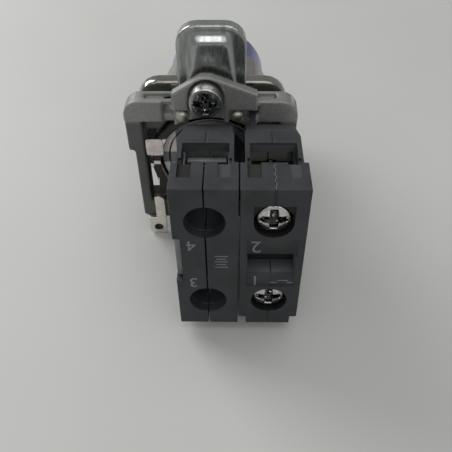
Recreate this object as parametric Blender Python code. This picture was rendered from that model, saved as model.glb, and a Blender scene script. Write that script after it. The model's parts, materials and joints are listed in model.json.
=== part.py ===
"""Illuminated 22 mm push button with a three-bay collar, a light block and a contact block.

Metres, +Z up. Y runs along the button's axis, from the wiring blocks (rear, -Y) to the lens
(front, +Y). The origin is on the axis, in the plane of the panel's front face. One bay of the
collar stays empty, as on a button that is wired for one contact only.
"""

from math import cos, pi, sin, tan

import bmesh
import bpy
from mathutils import Matrix, Vector

for leftover in list(bpy.data.objects):
    bpy.data.objects.remove(leftover, do_unlink=True)

MM = 0.001

# Clearances
SEAT_GAP = 0.3 * MM
SLIDE_GAP = 0.3 * MM
SHAFT_GAP = 0.15 * MM
CUT_PAST = 1.0 * MM

# Head: flange, barrel and guard tube
FLANGE_SIDE = 27.0 * MM
FLANGE_CORNER = 4.0 * MM
FLANGE_DEPTH = 3.0 * MM
FLANGE_EDGE = 0.8 * MM
GASKET_THICKNESS = 1.0 * MM
GASKET_WIDTH = 1.7 * MM
BARREL_DIAMETER = 21.8 * MM
BARREL_WALL = 1.3 * MM
BARREL_REACH = 4.6 * MM
GUARD_STEP = 0.4 * MM
GUARD_WALL = 0.7 * MM
GUARD_REACH = 19.7 * MM
BORE_FLOOR = 1.0 * MM
SPRING_SEAT_Y = 0.2 * MM
SPRING_SEAT_THICKNESS = 1.2 * MM
LUG_HEIGHT = 0.65 * MM
LUG_SPAN = 5.4 * MM
LUG_THICKNESS = 1.2 * MM

# Button: lens, carrier, pusher and return spring
BUTTON_TRAVEL = 4.5 * MM
CAP_PROUD = 11.2 * MM
CAP_DOME = 2.5 * MM
CAP_WALL = 1.5 * MM
CARRIER_WALL = 1.2 * MM
CARRIER_FLANGE = 1.5 * MM
CARRIER_NOSE = 4.0 * MM
DIFFUSER_THICKNESS = 1.5 * MM
PUSHER_LENGTH = 1.5 * MM
SPRING_LENGTH = 10.5 * MM
SPRING_WIRE = 0.7 * MM
SPRING_TURNS = 5.5
SPRING_SIDE_GAP = 0.5 * MM

# Collar
COLLAR_SIDE = 2.15 * MM
COLLAR_BAR = 2.4 * MM
COLLAR_CORNER = 3.0 * MM
COLLAR_REAR = 5.0 * MM
COLLAR_DEPTH = 3.2 * MM
COLLAR_FLOOR = 1.2 * MM
COLLAR_WALL = 3.0 * MM
BAY_OPENING = 18.8 * MM
WALL_STEP = 1.1 * MM
WALL_STEP_Z = 3.0 * MM
EAR_INNER_X = 8.3 * MM
EAR_PROUD = 0.4 * MM
BOSS_LEFT = 6.2 * MM
BOSS_RIGHT = 8.0 * MM
BOSS_APEX_RISE = 5.8 * MM
BOSS_EAVE_RISE = 2.7 * MM
BOSS_PROUD = 2.6 * MM
HOOD_WALL = 0.8 * MM
LEVER_LUG_WALL = 0.6 * MM
RIVET_X = 4.7 * MM
RIVET_DROP = 1.9 * MM
RIVET_HEAD = 2.3 * MM
RIVET_SHANK = 1.2 * MM
RIVET_DOME = 0.8 * MM
SLOT_WIDTH = 1.6 * MM
SLOT_HEIGHT = 1.8 * MM
TAB_INSET = 3.9 * MM
TAB_WIDTH = 3.4 * MM
TAB_THICKNESS = 0.8 * MM
TAB_LENGTH = 9.9 * MM
TAB_OVERLAP = 6.2 * MM
TAB_HOLE = 1.8 * MM
TAB_NECK = 1.9 * MM
TAB_EYE_LENGTH = 4.4 * MM

# Locking lever
LEVER_X = 0.4 * MM
LEVER_WIDTH = 11.4 * MM
LEVER_RISE = 12.7 * MM
LEVER_CORNER = 3.4 * MM
LEVER_LEG = 2.1 * MM
LEVER_DEPTH = 3.0 * MM
LEVER_ROOM = 1.0 * MM
LEVER_PIN_DROP = 0.4 * MM
LEVER_PIN_DIAMETER = 1.4 * MM
LEVER_PIN_LENGTH = 3.8 * MM
LEVER_FOOT = 1.3 * MM
PAD_PROUD = 0.7 * MM
PAD_DROP = 2.6 * MM
PAD_TOP_WIDTH = 5.4 * MM
PAD_WIDTH = 7.6 * MM
PAD_CORNER = 1.2 * MM
PAD_SIDE_SLOPE = 0.6 * MM
PAD_TOP_SLOPE = 1.2 * MM

# Screws
SCREW_SHANK = 3.0 * MM
SCREW_HEAD = 5.3 * MM
SCREW_HEAD_HEIGHT = 2.0 * MM
CROSS_WIDTH = 0.9 * MM
CROSS_DEPTH = 0.9 * MM
CLAMP_SCREW_X = -0.5 * MM
CLAMP_SCREW_RISE = 2.3 * MM
CLAMP_HEAD_HEIGHT = 3.0 * MM
CLAMP_HEAD_PROUD = 2.4 * MM

# Wiring blocks
BAY_PITCH = 10.0 * MM
BLOCK_GAP = 0.2 * MM
BLOCK_HEIGHT = 30.4 * MM
BLOCK_DEPTH = 21.8 * MM
BLOCK_CLEARANCE = 0.7 * MM
BLOCK_WALL = 1.6 * MM
BLOCK_SIDE_STEP = 0.7 * MM
BLOCK_SIDE_STEP_DEPTH = 6.0 * MM
SHOULDER_DEPTH = 13.6 * MM
SNOUT_HEIGHT = 18.6 * MM
SLOPE_DEPTH = 19.5 * MM
SLOPE_HEIGHT = 24.8 * MM
SEAM = 0.2 * MM
TERMINAL_Z = 8.9 * MM
WINDOW_WIDTH = 7.0 * MM
WINDOW_START = 6.0 * MM
WINDOW_LENGTH = 4.6 * MM
CONTACT_HEAD_DEPTH = 0.6 * MM
LIGHT_HOLE = 6.1 * MM
NOTCH_DEPTH = 1.1 * MM
NOTCH_LENGTH = 4.5 * MM
NOTCH_LOW_Z = -4.0 * MM
NOTCH_HIGH_Z = 5.5 * MM
POCKET_WIDTH = 7.4 * MM
POCKET_HEIGHT = 4.3 * MM
POCKET_DEPTH = 3.2 * MM
PLATE_WIDTH = 7.6 * MM
PLATE_DEPTH = 0.3 * MM
PLATE_HEIGHT = 3.2 * MM
TONGUE_TRIM = 1.9 * MM
CORNER_TRIM = 1.2 * MM
HOOK_LENGTH = 3.0 * MM
GROOVE_WIDTH = 1.6 * MM
GROOVE_DEPTH = 0.4 * MM
GROOVE_LENGTH = 3.4 * MM

# Terminals, contacts and light
WIRE_CLAMP_WIDTH = 6.0 * MM
WIRE_CLAMP_HEIGHT = 5.4 * MM
WIRE_CLAMP_THICKNESS = 1.0 * MM
STRIP_THICKNESS = 0.8 * MM
STRIP_WIDTH = 6.0 * MM
CONTACT_STRIP_END = 2.1 * MM
STRIP_TIP_Z = 4.6 * MM
TIP_DIAMETER = 2.0 * MM
TIP_HEIGHT = 0.6 * MM
STRIP_LEG_Z = 6.0 * MM
STRIP_INNER_Z = 3.4 * MM
STRIP_STEP = 4.4 * MM
BRIDGE_WIDTH = 3.0 * MM
BRIDGE_THICKNESS = 0.5 * MM
PLUNGER_WIDTH = 5.6 * MM
PLUNGER_HEIGHT = 4.8 * MM
NOSE_WIDTH = 2.0 * MM
NOSE_HEIGHT = 4.0 * MM
CONTACT_SPRING_DIAMETER = 4.0 * MM
CONTACT_SPRING_WIRE = 0.45 * MM
CONTACT_SPRING_TURNS = 5.0
BOARD_THICKNESS = 1.2 * MM
BOARD_HEIGHT = 12.0 * MM
LAMP_DIAMETER = 8.0 * MM
LAMP_REACH = 12.0 * MM

# Facets
RING_STEPS = 44
SCREW_STEPS = 20
PIN_STEPS = 14
ARC_STEPS = 5
CURL_POINTS = 10

# Radii of the head, from the barrel and the guard inwards
BARREL_R = BARREL_DIAMETER / 2
BARREL_BORE_R = BARREL_R - BARREL_WALL
GUARD_R = BARREL_R + GUARD_STEP
GUARD_BORE_R = GUARD_R - GUARD_WALL
CAP_R = GUARD_BORE_R - SLIDE_GAP
CAP_BORE_R = CAP_R - CAP_WALL
SPRING_R = BARREL_BORE_R - SPRING_SIDE_GAP - SPRING_WIRE / 2
CARRIER_R = SPRING_R - SPRING_WIRE / 2 - SPRING_SIDE_GAP
CARRIER_BORE_R = CARRIER_R - CARRIER_WALL
SPRING_SEAT_R = CARRIER_R + SLIDE_GAP

# Stations along Y from the panel plane, and half-sizes and heights of the collar
FLANGE_REAR_Y = GASKET_THICKNESS + SEAT_GAP
FLANGE_FRONT_Y = FLANGE_REAR_Y + FLANGE_DEPTH
BORE_FLOOR_Y = FLANGE_REAR_Y + BORE_FLOOR
CARRIER_FLANGE_Y = SPRING_SEAT_Y + SPRING_LENGTH + 2 * SEAT_GAP
CAP_REAR_Y = CARRIER_FLANGE_Y + CARRIER_FLANGE + SEAT_GAP
CAP_FRONT_Y = GUARD_REACH + CAP_PROUD
CARRIER_FRONT_Y = CARRIER_FLANGE_Y + CARRIER_FLANGE + CARRIER_NOSE
PUSHER_FRONT_Y = SPRING_SEAT_Y - SPRING_SEAT_THICKNESS - SEAT_GAP
PUSHER_REAR_Y = PUSHER_FRONT_Y - PUSHER_LENGTH
BLOCK_FRONT_Y = PUSHER_REAR_Y - BUTTON_TRAVEL - BLOCK_CLEARANCE
BLOCK_REAR_Y = BLOCK_FRONT_Y - BLOCK_DEPTH
COLLAR_REAR_Y = -COLLAR_REAR
COLLAR_FRONT_Y = COLLAR_REAR_Y + COLLAR_DEPTH
COLLAR_FLOOR_Y = COLLAR_FRONT_Y - COLLAR_FLOOR
COLLAR_HALF = BARREL_R + LUG_HEIGHT + SLIDE_GAP + WALL_STEP + COLLAR_SIDE
COLLAR_TALL = BARREL_R + SLIDE_GAP + COLLAR_BAR
TAB_X = COLLAR_HALF - TAB_INSET
BOSS_REAR_Y = COLLAR_REAR_Y - BOSS_PROUD
LEVER_FRONT_Y = COLLAR_FRONT_Y
LEVER_REAR_Y = LEVER_FRONT_Y - LEVER_DEPTH
LEVER_PIN_Y = LEVER_FRONT_Y - LEVER_DEPTH / 2
BOSS_FRONT_Y = LEVER_REAR_Y - LEVER_ROOM
BOSS_APEX_Z = COLLAR_TALL + BOSS_APEX_RISE
BOSS_EAVE_Z = COLLAR_TALL + BOSS_EAVE_RISE
RIVET_Z = COLLAR_TALL - RIVET_DROP
CLAMP_SCREW_Z = COLLAR_TALL + CLAMP_SCREW_RISE
LEVER_TOP_Z = COLLAR_TALL + LEVER_RISE
LEVER_PIN_Z = COLLAR_TALL - LEVER_PIN_DROP
LEVER_LUG_Z = CLAMP_SCREW_Z + SCREW_SHANK / 2 + LEVER_LUG_WALL
WINDOW_REAR_Y = BLOCK_REAR_Y + WINDOW_START
WINDOW_FRONT_Y = WINDOW_REAR_Y + WINDOW_LENGTH
STRIP_REAR_Y = WINDOW_FRONT_Y + SEAT_GAP
CLAMPED_HEAD_Y = STRIP_REAR_Y - 2 * SEAT_GAP - WIRE_CLAMP_THICKNESS - SCREW_HEAD_HEIGHT
BLOCK_HALF = BAY_PITCH / 2 - BLOCK_GAP / 2
CAVITY_FRONT_Y = BLOCK_FRONT_Y - BLOCK_WALL

LIGHT_X = 0.0
CONTACT_X = BAY_PITCH

SOURCE = bpy.context.scene.collection
ROOT = bpy.data.objects.new("push_button", None)
SOURCE.objects.link(ROOT)


def finish(name, colour, roughness, metallic=0.0):
    """A plain Principled material in the piece's colour."""
    made = bpy.data.materials.get(name)
    if made is None:
        made = bpy.data.materials.new(name)
        made.use_nodes = True
        shader = made.node_tree.nodes["Principled BSDF"]
        shader.inputs["Base Color"].default_value = (*colour, 1.0)
        shader.inputs["Roughness"].default_value = roughness
        shader.inputs["Metallic"].default_value = metallic
    return made


CHROME = finish("chrome", (0.72, 0.72, 0.74), 0.12, 1.0)
CAST_ZINC = finish("cast_zinc", (0.42, 0.42, 0.42), 0.45, 1.0)
STEEL = finish("plated_steel", (0.66, 0.66, 0.66), 0.22, 1.0)
BRASS = finish("brass", (0.72, 0.55, 0.28), 0.3, 1.0)
BLACK_CASE = finish("black_casing", (0.045, 0.045, 0.05), 0.5)
BLUE_LENS = finish("blue_lens", (0.06, 0.10, 0.55), 0.2)
WHITE_PLASTIC = finish("white_plastic", (0.82, 0.82, 0.80), 0.4)
GREY_PLASTIC = finish("grey_plastic", (0.35, 0.36, 0.38), 0.5)
RUBBER = finish("rubber", (0.03, 0.03, 0.03), 0.8)
BOARD_GREEN = finish("board_green", (0.05, 0.22, 0.10), 0.5)
LAMP_CLEAR = finish("lamp_clear", (0.75, 0.80, 0.95), 0.15)


def mesh_object(name, bm):
    """A new object from a bmesh whose faces are turned outwards."""
    bmesh.ops.recalc_face_normals(bm, faces=bm.faces)
    mesh = bpy.data.meshes.new(name)
    bm.to_mesh(mesh)
    bm.free()
    made = bpy.data.objects.new(name, mesh)
    SOURCE.objects.link(made)
    return made


def extruded(name, outline, axis, low, high):
    """A prism: an outline in the two other axes, in X, Y, Z order, drawn from low to high on axis."""
    others = [i for i in range(3) if i != axis]
    bm = bmesh.new()
    ring = []
    for first, second in outline:
        point = Vector((0.0, 0.0, 0.0))
        point[others[0]] = first
        point[others[1]] = second
        point[axis] = low
        ring.append(bm.verts.new(point))
    face = bm.faces.new(ring)
    grown = bmesh.ops.extrude_face_region(bm, geom=[face])
    shift = Vector((0.0, 0.0, 0.0))
    shift[axis] = high - low
    moved = [item for item in grown["geom"] if isinstance(item, bmesh.types.BMVert)]
    bmesh.ops.translate(bm, vec=shift, verts=moved)
    return mesh_object(name, bm)


def lofted(name, rear_outline, rear_y, front_outline, front_y):
    """A straight loft between two outlines in X and Z with as many points."""
    bm = bmesh.new()
    stations = [(rear_outline, rear_y), (front_outline, front_y)]
    rings = [[bm.verts.new((x, y, z)) for x, z in outline] for outline, y in stations]
    bm.faces.new(rings[0])
    bm.faces.new(rings[-1])
    count = len(rear_outline)
    for near, far in zip(rings, rings[1:]):
        for i in range(count):
            j = (i + 1) % count
            bm.faces.new((near[i], near[j], far[j], far[i]))
    return mesh_object(name, bm)


def block(name, x_span, y_span, z_span):
    """A rectangular block between the given limits."""
    outline = [(x_span[0], z_span[0]), (x_span[1], z_span[0]), (x_span[1], z_span[1]), (x_span[0], z_span[1])]
    return extruded(name, outline, 1, y_span[0], y_span[1])


def turned(name, profile, steps, centre_x=0.0, centre_z=0.0):
    """A body of revolution about a line along Y: profile points are (radius, y), as a closed outline."""
    bm = bmesh.new()
    points = [bm.verts.new((radius, y, 0.0)) for radius, y in profile]
    edges = [bm.edges.new((points[i], points[(i + 1) % len(points)])) for i in range(len(points))]
    axis_edges = [e for e in edges if max(v.co.x for v in e.verts) < 1e-9]
    for edge in axis_edges:
        edges.remove(edge)
        bm.edges.remove(edge)
    bmesh.ops.spin(
        bm, geom=points + edges, cent=(0, 0, 0), axis=(0, 1, 0), angle=2 * pi, steps=steps, use_merge=True
    )
    bmesh.ops.remove_doubles(bm, verts=bm.verts, dist=1e-6)
    bmesh.ops.translate(bm, vec=(centre_x, 0.0, centre_z), verts=bm.verts)
    return mesh_object(name, bm)


def rod(name, axis, centre, radius, low, high, steps):
    """A plain round bar along X (axis 0) or Y (axis 1); centre gives its place on the two other axes."""
    outline = [
        (centre[0] + radius * cos(2 * pi * i / steps), centre[1] + radius * sin(2 * pi * i / steps))
        for i in range(steps)
    ]
    return extruded(name, outline, axis, low, high)


def rounded_outline(half_width, low, high, radius, steps=ARC_STEPS):
    """A rectangle with round corners, centred on the first axis, anticlockwise."""
    corners = [
        (half_width - radius, high - radius, 0.0),
        (-half_width + radius, high - radius, pi / 2),
        (-half_width + radius, low + radius, pi),
        (half_width - radius, low + radius, 3 * pi / 2),
    ]
    points = []
    for first, second, start in corners:
        for i in range(steps + 1):
            turn = start + pi / 2 * i / steps
            points.append((first + radius * cos(turn), second + radius * sin(turn)))
    return points


def combine(base, joins=(), cuts=()):
    """Joins and cuts helpers into base with exact Booleans, then drops the helpers."""
    for operation, helpers in (("UNION", joins), ("DIFFERENCE", cuts)):
        for helper in helpers:
            step = base.modifiers.new(operation.lower(), "BOOLEAN")
            step.operation = operation
            step.solver = "EXACT"
            step.object = helper
            helper.hide_render = True
            helper.display_type = "WIRE"
    graph = bpy.context.evaluated_depsgraph_get()
    result = bpy.data.meshes.new_from_object(base.evaluated_get(graph))
    base.modifiers.clear()
    base.data = result
    for helper in (*joins, *cuts):
        bpy.data.objects.remove(helper, do_unlink=True)
    tidy = bmesh.new()
    tidy.from_mesh(result)
    bmesh.ops.remove_doubles(tidy, verts=tidy.verts, dist=1e-6)
    bmesh.ops.dissolve_degenerate(tidy, edges=tidy.edges, dist=1e-6)
    tidy.to_mesh(result)
    tidy.free()
    return base


def place(piece, material, origin=(0.0, 0.0, 0.0), sharp=35.0):
    """Gives a piece its material, smooth round faces and an origin on its axis."""
    piece.data.materials.clear()
    piece.data.materials.append(material)
    piece.data.shade_smooth()
    piece.data.set_sharp_from_angle(angle=sharp * pi / 180)
    piece.data.transform(Matrix.Translation(-Vector(origin)))
    piece.location = origin
    piece.parent = ROOT
    return piece


def coil(name, material, centre, radius, wire, turns, low, high):
    """A compression spring along Y as one round wire; prints the least gap between its curls."""
    count = int(turns * CURL_POINTS) + 1
    rise = high - low - wire
    points = []
    for i in range(count):
        turn = 2 * pi * turns * i / (count - 1)
        y = low + wire / 2 + rise * i / (count - 1)
        points.append(Vector((centre[0] + radius * cos(turn), y, centre[1] + radius * sin(turn))))
    curve = bpy.data.curves.new(name, "CURVE")
    curve.dimensions = "3D"
    curve.bevel_depth = wire / 2
    curve.bevel_resolution = 1
    curve.use_fill_caps = True
    spline = curve.splines.new("POLY")
    spline.points.add(count - 1)
    for point, place_at in zip(spline.points, points):
        point.co = (*place_at, 1.0)
    made = bpy.data.objects.new(name, curve)
    SOURCE.objects.link(made)
    made.data.materials.append(material)
    made.parent = ROOT
    apart = CURL_POINTS // 2
    gap = min(
        (points[i] - points[j]).length - wire for i in range(count) for j in range(i + apart, count)
    )
    print(f"{name}: least gap between curls {gap / MM:.2f} mm")
    return made


def screw(name, centre_x, centre_z, head_rear, shank_end, material, head_height=SCREW_HEAD_HEIGHT):
    """A cross-recess screw along Y: domed head at the rear, plain shank to the front."""
    head_r = SCREW_HEAD / 2
    shank_r = SCREW_SHANK / 2
    head_front = head_rear + head_height
    bevel = SCREW_HEAD_HEIGHT / 4
    profile = [
        (0.0, head_rear),
        (head_r - bevel, head_rear),
        (head_r, head_rear + bevel),
        (head_r, head_front),
        (shank_r, head_front),
        (shank_r, shank_end),
        (0.0, shank_end),
    ]
    made = turned(name, profile, SCREW_STEPS, centre_x, centre_z)
    reach = head_r - 2 * bevel
    depth = (head_rear - CUT_PAST, head_rear + CROSS_DEPTH)
    half = CROSS_WIDTH / 2
    arm = [(-half, -reach), (half, -reach), (half, -half), (reach, -half), (reach, half), (half, half),
           (half, reach), (-half, reach), (-half, half), (-reach, half), (-reach, -half), (-half, -half)]
    cross = extruded("cross", [(centre_x + x, centre_z + z) for x, z in arm], 1, *depth)
    combine(made, cuts=[cross])
    return place(made, material, (centre_x, head_rear, centre_z))


def build_head():
    """The bezel with its barrel, the panel gasket and all that moves with the button."""
    seat_rear = SPRING_SEAT_Y - SPRING_SEAT_THICKNESS
    step_y = FLANGE_REAR_Y + FLANGE_DEPTH / 2
    outside = [
        (0.0, -BARREL_REACH),
        (BARREL_R, -BARREL_REACH),
        (BARREL_R, step_y),
        (GUARD_R, step_y),
        (GUARD_R, GUARD_REACH - GUARD_WALL / 2),
        (GUARD_R - GUARD_WALL / 2, GUARD_REACH),
        (0.0, GUARD_REACH),
    ]
    inside = [
        (0.0, -BARREL_REACH - CUT_PAST),
        (BARREL_BORE_R, -BARREL_REACH - CUT_PAST),
        (BARREL_BORE_R, seat_rear),
        (SPRING_SEAT_R, seat_rear),
        (SPRING_SEAT_R, SPRING_SEAT_Y),
        (BARREL_BORE_R, SPRING_SEAT_Y),
        (BARREL_BORE_R, BORE_FLOOR_Y),
        (GUARD_BORE_R, BORE_FLOOR_Y),
        (GUARD_BORE_R, GUARD_REACH + CUT_PAST),
        (0.0, GUARD_REACH + CUT_PAST),
    ]
    bezel = turned("operator_bezel", outside, RING_STEPS)
    bore = turned("bore", inside, RING_STEPS)
    half = FLANGE_SIDE / 2
    flange = extruded(
        "flange", rounded_outline(half, -half, half, FLANGE_CORNER), 1, FLANGE_REAR_Y, FLANGE_FRONT_Y
    )
    edge = flange.modifiers.new("edge", "BEVEL")
    edge.width = FLANGE_EDGE
    edge.segments = 2
    edge.limit_method = "ANGLE"
    lug_y = COLLAR_FLOOR_Y - SEAT_GAP
    lugs = [
        block(
            "lug",
            sorted((side * (BARREL_R - BARREL_WALL / 2), side * (BARREL_R + LUG_HEIGHT))),
            (lug_y - LUG_THICKNESS, lug_y),
            (-LUG_SPAN - SLIDE_GAP, -SLIDE_GAP),
        )
        for side in (-1, 1)
    ]
    combine(bezel, joins=[flange, *lugs], cuts=[bore])
    place(bezel, CHROME)

    gasket_in = BARREL_R + SEAT_GAP
    gasket_out = gasket_in + GASKET_WIDTH
    ring = [
        (gasket_in, 0.0),
        (gasket_out, 0.0),
        (gasket_out, GASKET_THICKNESS),
        (gasket_in, GASKET_THICKNESS),
    ]
    place(turned("panel_gasket", ring, RING_STEPS), RUBBER)

    dome_y = CAP_FRONT_Y - CAP_DOME
    outer = [(CAP_R, CAP_REAR_Y)]
    inner = [(CAP_BORE_R, CAP_REAR_Y)]
    for i in range(ARC_STEPS + 1):
        turn = pi / 2 * i / ARC_STEPS
        outer.append((CAP_R * cos(turn), dome_y + CAP_DOME * sin(turn)))
        inner.append((CAP_BORE_R * cos(turn), dome_y + (CAP_DOME - CAP_WALL) * sin(turn)))
    place(turned("lens_cap", outer + inner[::-1], RING_STEPS), BLUE_LENS)

    sheet_low = CARRIER_FRONT_Y + SEAT_GAP
    sheet_high = sheet_low + DIFFUSER_THICKNESS
    sheet_r = CAP_BORE_R - SEAT_GAP
    sheet = [(0.0, sheet_low), (sheet_r, sheet_low), (sheet_r, sheet_high), (0.0, sheet_high)]
    place(turned("lens_diffuser", sheet, RING_STEPS), WHITE_PLASTIC)

    carrier = [
        (CARRIER_BORE_R, PUSHER_REAR_Y),
        (CARRIER_R, PUSHER_REAR_Y),
        (CARRIER_R, CARRIER_FLANGE_Y),
        (CAP_R, CARRIER_FLANGE_Y),
        (CAP_R, CARRIER_FLANGE_Y + CARRIER_FLANGE),
        (CARRIER_R, CARRIER_FLANGE_Y + CARRIER_FLANGE),
        (CARRIER_R, CARRIER_FRONT_Y),
        (CARRIER_BORE_R, CARRIER_FRONT_Y),
    ]
    place(turned("lens_carrier", carrier, RING_STEPS), GREY_PLASTIC)

    pusher_in = CARRIER_R + SEAT_GAP
    pusher_out = BARREL_BORE_R - SLIDE_GAP
    pusher = [
        (pusher_in, PUSHER_REAR_Y),
        (pusher_out, PUSHER_REAR_Y),
        (pusher_out, PUSHER_FRONT_Y),
        (pusher_in, PUSHER_FRONT_Y),
    ]
    place(turned("pusher_ring", pusher, RING_STEPS), GREY_PLASTIC)
    coil(
        "return_spring",
        STEEL,
        (0.0, 0.0),
        SPRING_R,
        SPRING_WIRE,
        SPRING_TURNS,
        SPRING_SEAT_Y + SEAT_GAP,
        CARRIER_FLANGE_Y - SEAT_GAP,
    )


def hook_slots():
    """Places of the block hooks in the collar: (x, z) centres, the outer bays hooked at their inner side."""
    inner_x = EAR_INNER_X - SLOT_WIDTH / 2 - SEAT_GAP
    centre_x = LIGHT_X + SEAM / 2 + SLOT_WIDTH / 2
    slot_z = COLLAR_TALL - SLOT_HEIGHT
    return {
        "left": [(-inner_x, slot_z), (-inner_x, -slot_z)],
        "centre": [(centre_x, -slot_z)],
        "right": [(inner_x, slot_z), (inner_x, -slot_z)],
    }


def gable_roof(x, drop):
    """Height at x of the boss's gabled roof, lowered by drop."""
    left_run = BOSS_LEFT + CLAMP_SCREW_X - HOOD_WALL
    right_run = BOSS_RIGHT - CLAMP_SCREW_X - HOOD_WALL
    past_left = max(CLAMP_SCREW_X - HOOD_WALL - x, 0.0) / left_run
    past_right = max(x - CLAMP_SCREW_X - HOOD_WALL, 0.0) / right_run
    return BOSS_APEX_Z - drop - (BOSS_APEX_Z - BOSS_EAVE_Z) * (past_left + past_right)


def gable_line(left, right, drop):
    """The gabled roof's line from left to right as (x, z) points, lowered by drop."""
    turns = (left, CLAMP_SCREW_X - HOOD_WALL, CLAMP_SCREW_X + HOOD_WALL, right)
    return [(x, gable_roof(x, drop)) for x in turns]


def build_collar():
    """The die-cast collar, with a gabled boss and a lever lug, and what is fixed to it."""
    half = COLLAR_HALF
    tall = COLLAR_TALL
    collar = extruded(
        "collar_frame",
        rounded_outline(half, -tall, tall, COLLAR_CORNER),
        1,
        COLLAR_REAR_Y,
        COLLAR_FRONT_Y,
    )
    bay = BAY_OPENING / 2
    ear_arc = [
        (half - COLLAR_CORNER + COLLAR_CORNER * sin(pi / 2 * i / ARC_STEPS),
         tall - COLLAR_CORNER + COLLAR_CORNER * cos(pi / 2 * i / ARC_STEPS))
        for i in range(ARC_STEPS + 1)
    ]
    ear = [(EAR_INNER_X, bay), (EAR_INNER_X, tall), *ear_arc, (half, bay)]
    ears = [
        extruded("ear", [(side * x, z) for x, z in ear], 1, COLLAR_REAR_Y - EAR_PROUD, COLLAR_FLOOR_Y)
        for side in (-1, 1)
    ]
    gable = [(-BOSS_LEFT, bay), *gable_line(-BOSS_LEFT, BOSS_RIGHT, 0.0), (BOSS_RIGHT, bay)]
    boss = extruded("boss", gable, 1, BOSS_REAR_Y, COLLAR_FRONT_Y - SHAFT_GAP)

    past_rear = BOSS_REAR_Y - CUT_PAST
    past_front = COLLAR_FRONT_Y + CUT_PAST
    bore = rod("bore", 1, (0, 0), BARREL_R + SLIDE_GAP, past_rear, past_front, RING_STEPS)
    bays_half = half - COLLAR_WALL
    bays = block("bays", (-bays_half, bays_half), (past_rear, COLLAR_FLOOR_Y), (-bay, bay))
    hood_r = SCREW_HEAD / 2 + SLIDE_GAP
    head_seat = BOSS_REAR_Y + CLAMP_HEAD_HEIGHT - CLAMP_HEAD_PROUD + SEAT_GAP
    screw_at = (CLAMP_SCREW_X, CLAMP_SCREW_Z)
    hood = rod("hood", 1, screw_at, hood_r, past_rear, head_seat, SCREW_STEPS)
    apron = block(
        "apron",
        (CLAMP_SCREW_X - hood_r, CLAMP_SCREW_X + hood_r),
        (past_rear, head_seat),
        (0.0, CLAMP_SCREW_Z),
    )
    shank_r = SCREW_SHANK / 2 + SHAFT_GAP
    shank = rod("shank", 1, screw_at, shank_r, past_rear, past_front, SCREW_STEPS)
    way_out = LEVER_WIDTH / 2 + SLIDE_GAP
    way_in = LEVER_WIDTH / 2 - LEVER_LEG - SLIDE_GAP
    way_low = LEVER_PIN_Z - LEVER_FOOT - 3 * SLIDE_GAP
    over_left, over_right = LEVER_X - way_out, LEVER_X + way_out
    above = BOSS_APEX_Z + CUT_PAST
    over_lug = extruded(
        "over_lug",
        [
            (over_left, above),
            *gable_line(over_left, over_right, BOSS_APEX_Z - LEVER_LUG_Z),
            (over_right, above),
        ],
        1,
        BOSS_FRONT_Y,
        past_front,
    )
    cuts = [bore, bays, hood, apron, shank, over_lug]
    for places in hook_slots().values():
        for x, z in places:
            cuts.append(
                block(
                    "slot",
                    (x - SLOT_WIDTH / 2, x + SLOT_WIDTH / 2),
                    (past_rear, past_front),
                    (z - SLOT_HEIGHT / 2, z + SLOT_HEIGHT / 2),
                )
            )
    notch_x = BARREL_R + LUG_HEIGHT + SLIDE_GAP
    rivet_seat_y = BOSS_REAR_Y + RIVET_HEAD / 2
    for side, eave in ((-1, BOSS_LEFT), (1, BOSS_RIGHT)):
        cuts.append(
            block(
                "lug_way",
                sorted((side * (BARREL_R - CUT_PAST), side * notch_x)),
                (past_rear, past_front),
                (SLIDE_GAP, LUG_SPAN + 3 * SLIDE_GAP),
            )
        )
        cuts.append(
            block(
                "wall_step",
                sorted((side * (half - WALL_STEP), side * (half + CUT_PAST))),
                (past_rear, past_front),
                (-tall - CUT_PAST, WALL_STEP_Z),
            )
        )
        cuts.append(
            rod(
                "rivet_hole",
                1,
                (side * RIVET_X, RIVET_Z),
                RIVET_SHANK / 2 + SHAFT_GAP,
                past_rear,
                past_front,
                PIN_STEPS,
            )
        )
        cuts.append(
            block(
                "rivet_seat",
                sorted((side * (RIVET_X - RIVET_HEAD / 2 - SEAT_GAP), side * (eave + CUT_PAST))),
                (past_rear, rivet_seat_y),
                (0.0, RIVET_Z + RIVET_HEAD / 2 + SEAT_GAP),
            )
        )
        cuts.append(
            block(
                "lever_way",
                sorted((LEVER_X + side * way_in, LEVER_X + side * way_out)),
                (BOSS_FRONT_Y, past_front),
                (way_low, above),
            )
        )
        cuts.append(
            block(
                "behind_wing",
                sorted((LEVER_X + side * way_in, side * (eave + CUT_PAST))),
                (BOSS_FRONT_Y, past_front),
                (tall, above),
            )
        )
        cuts.append(
            rod(
                "pin_hole",
                0,
                (LEVER_PIN_Y, LEVER_PIN_Z),
                LEVER_PIN_DIAMETER / 2 + SHAFT_GAP,
                *sorted((LEVER_X + side * (LEVER_WIDTH / 2 - LEVER_PIN_LENGTH - SEAT_GAP), side * LEVER_WIDTH)),
                PIN_STEPS,
            )
        )
    combine(collar, joins=[boss, *ears], cuts=cuts)
    place(collar, CAST_ZINC)

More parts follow.
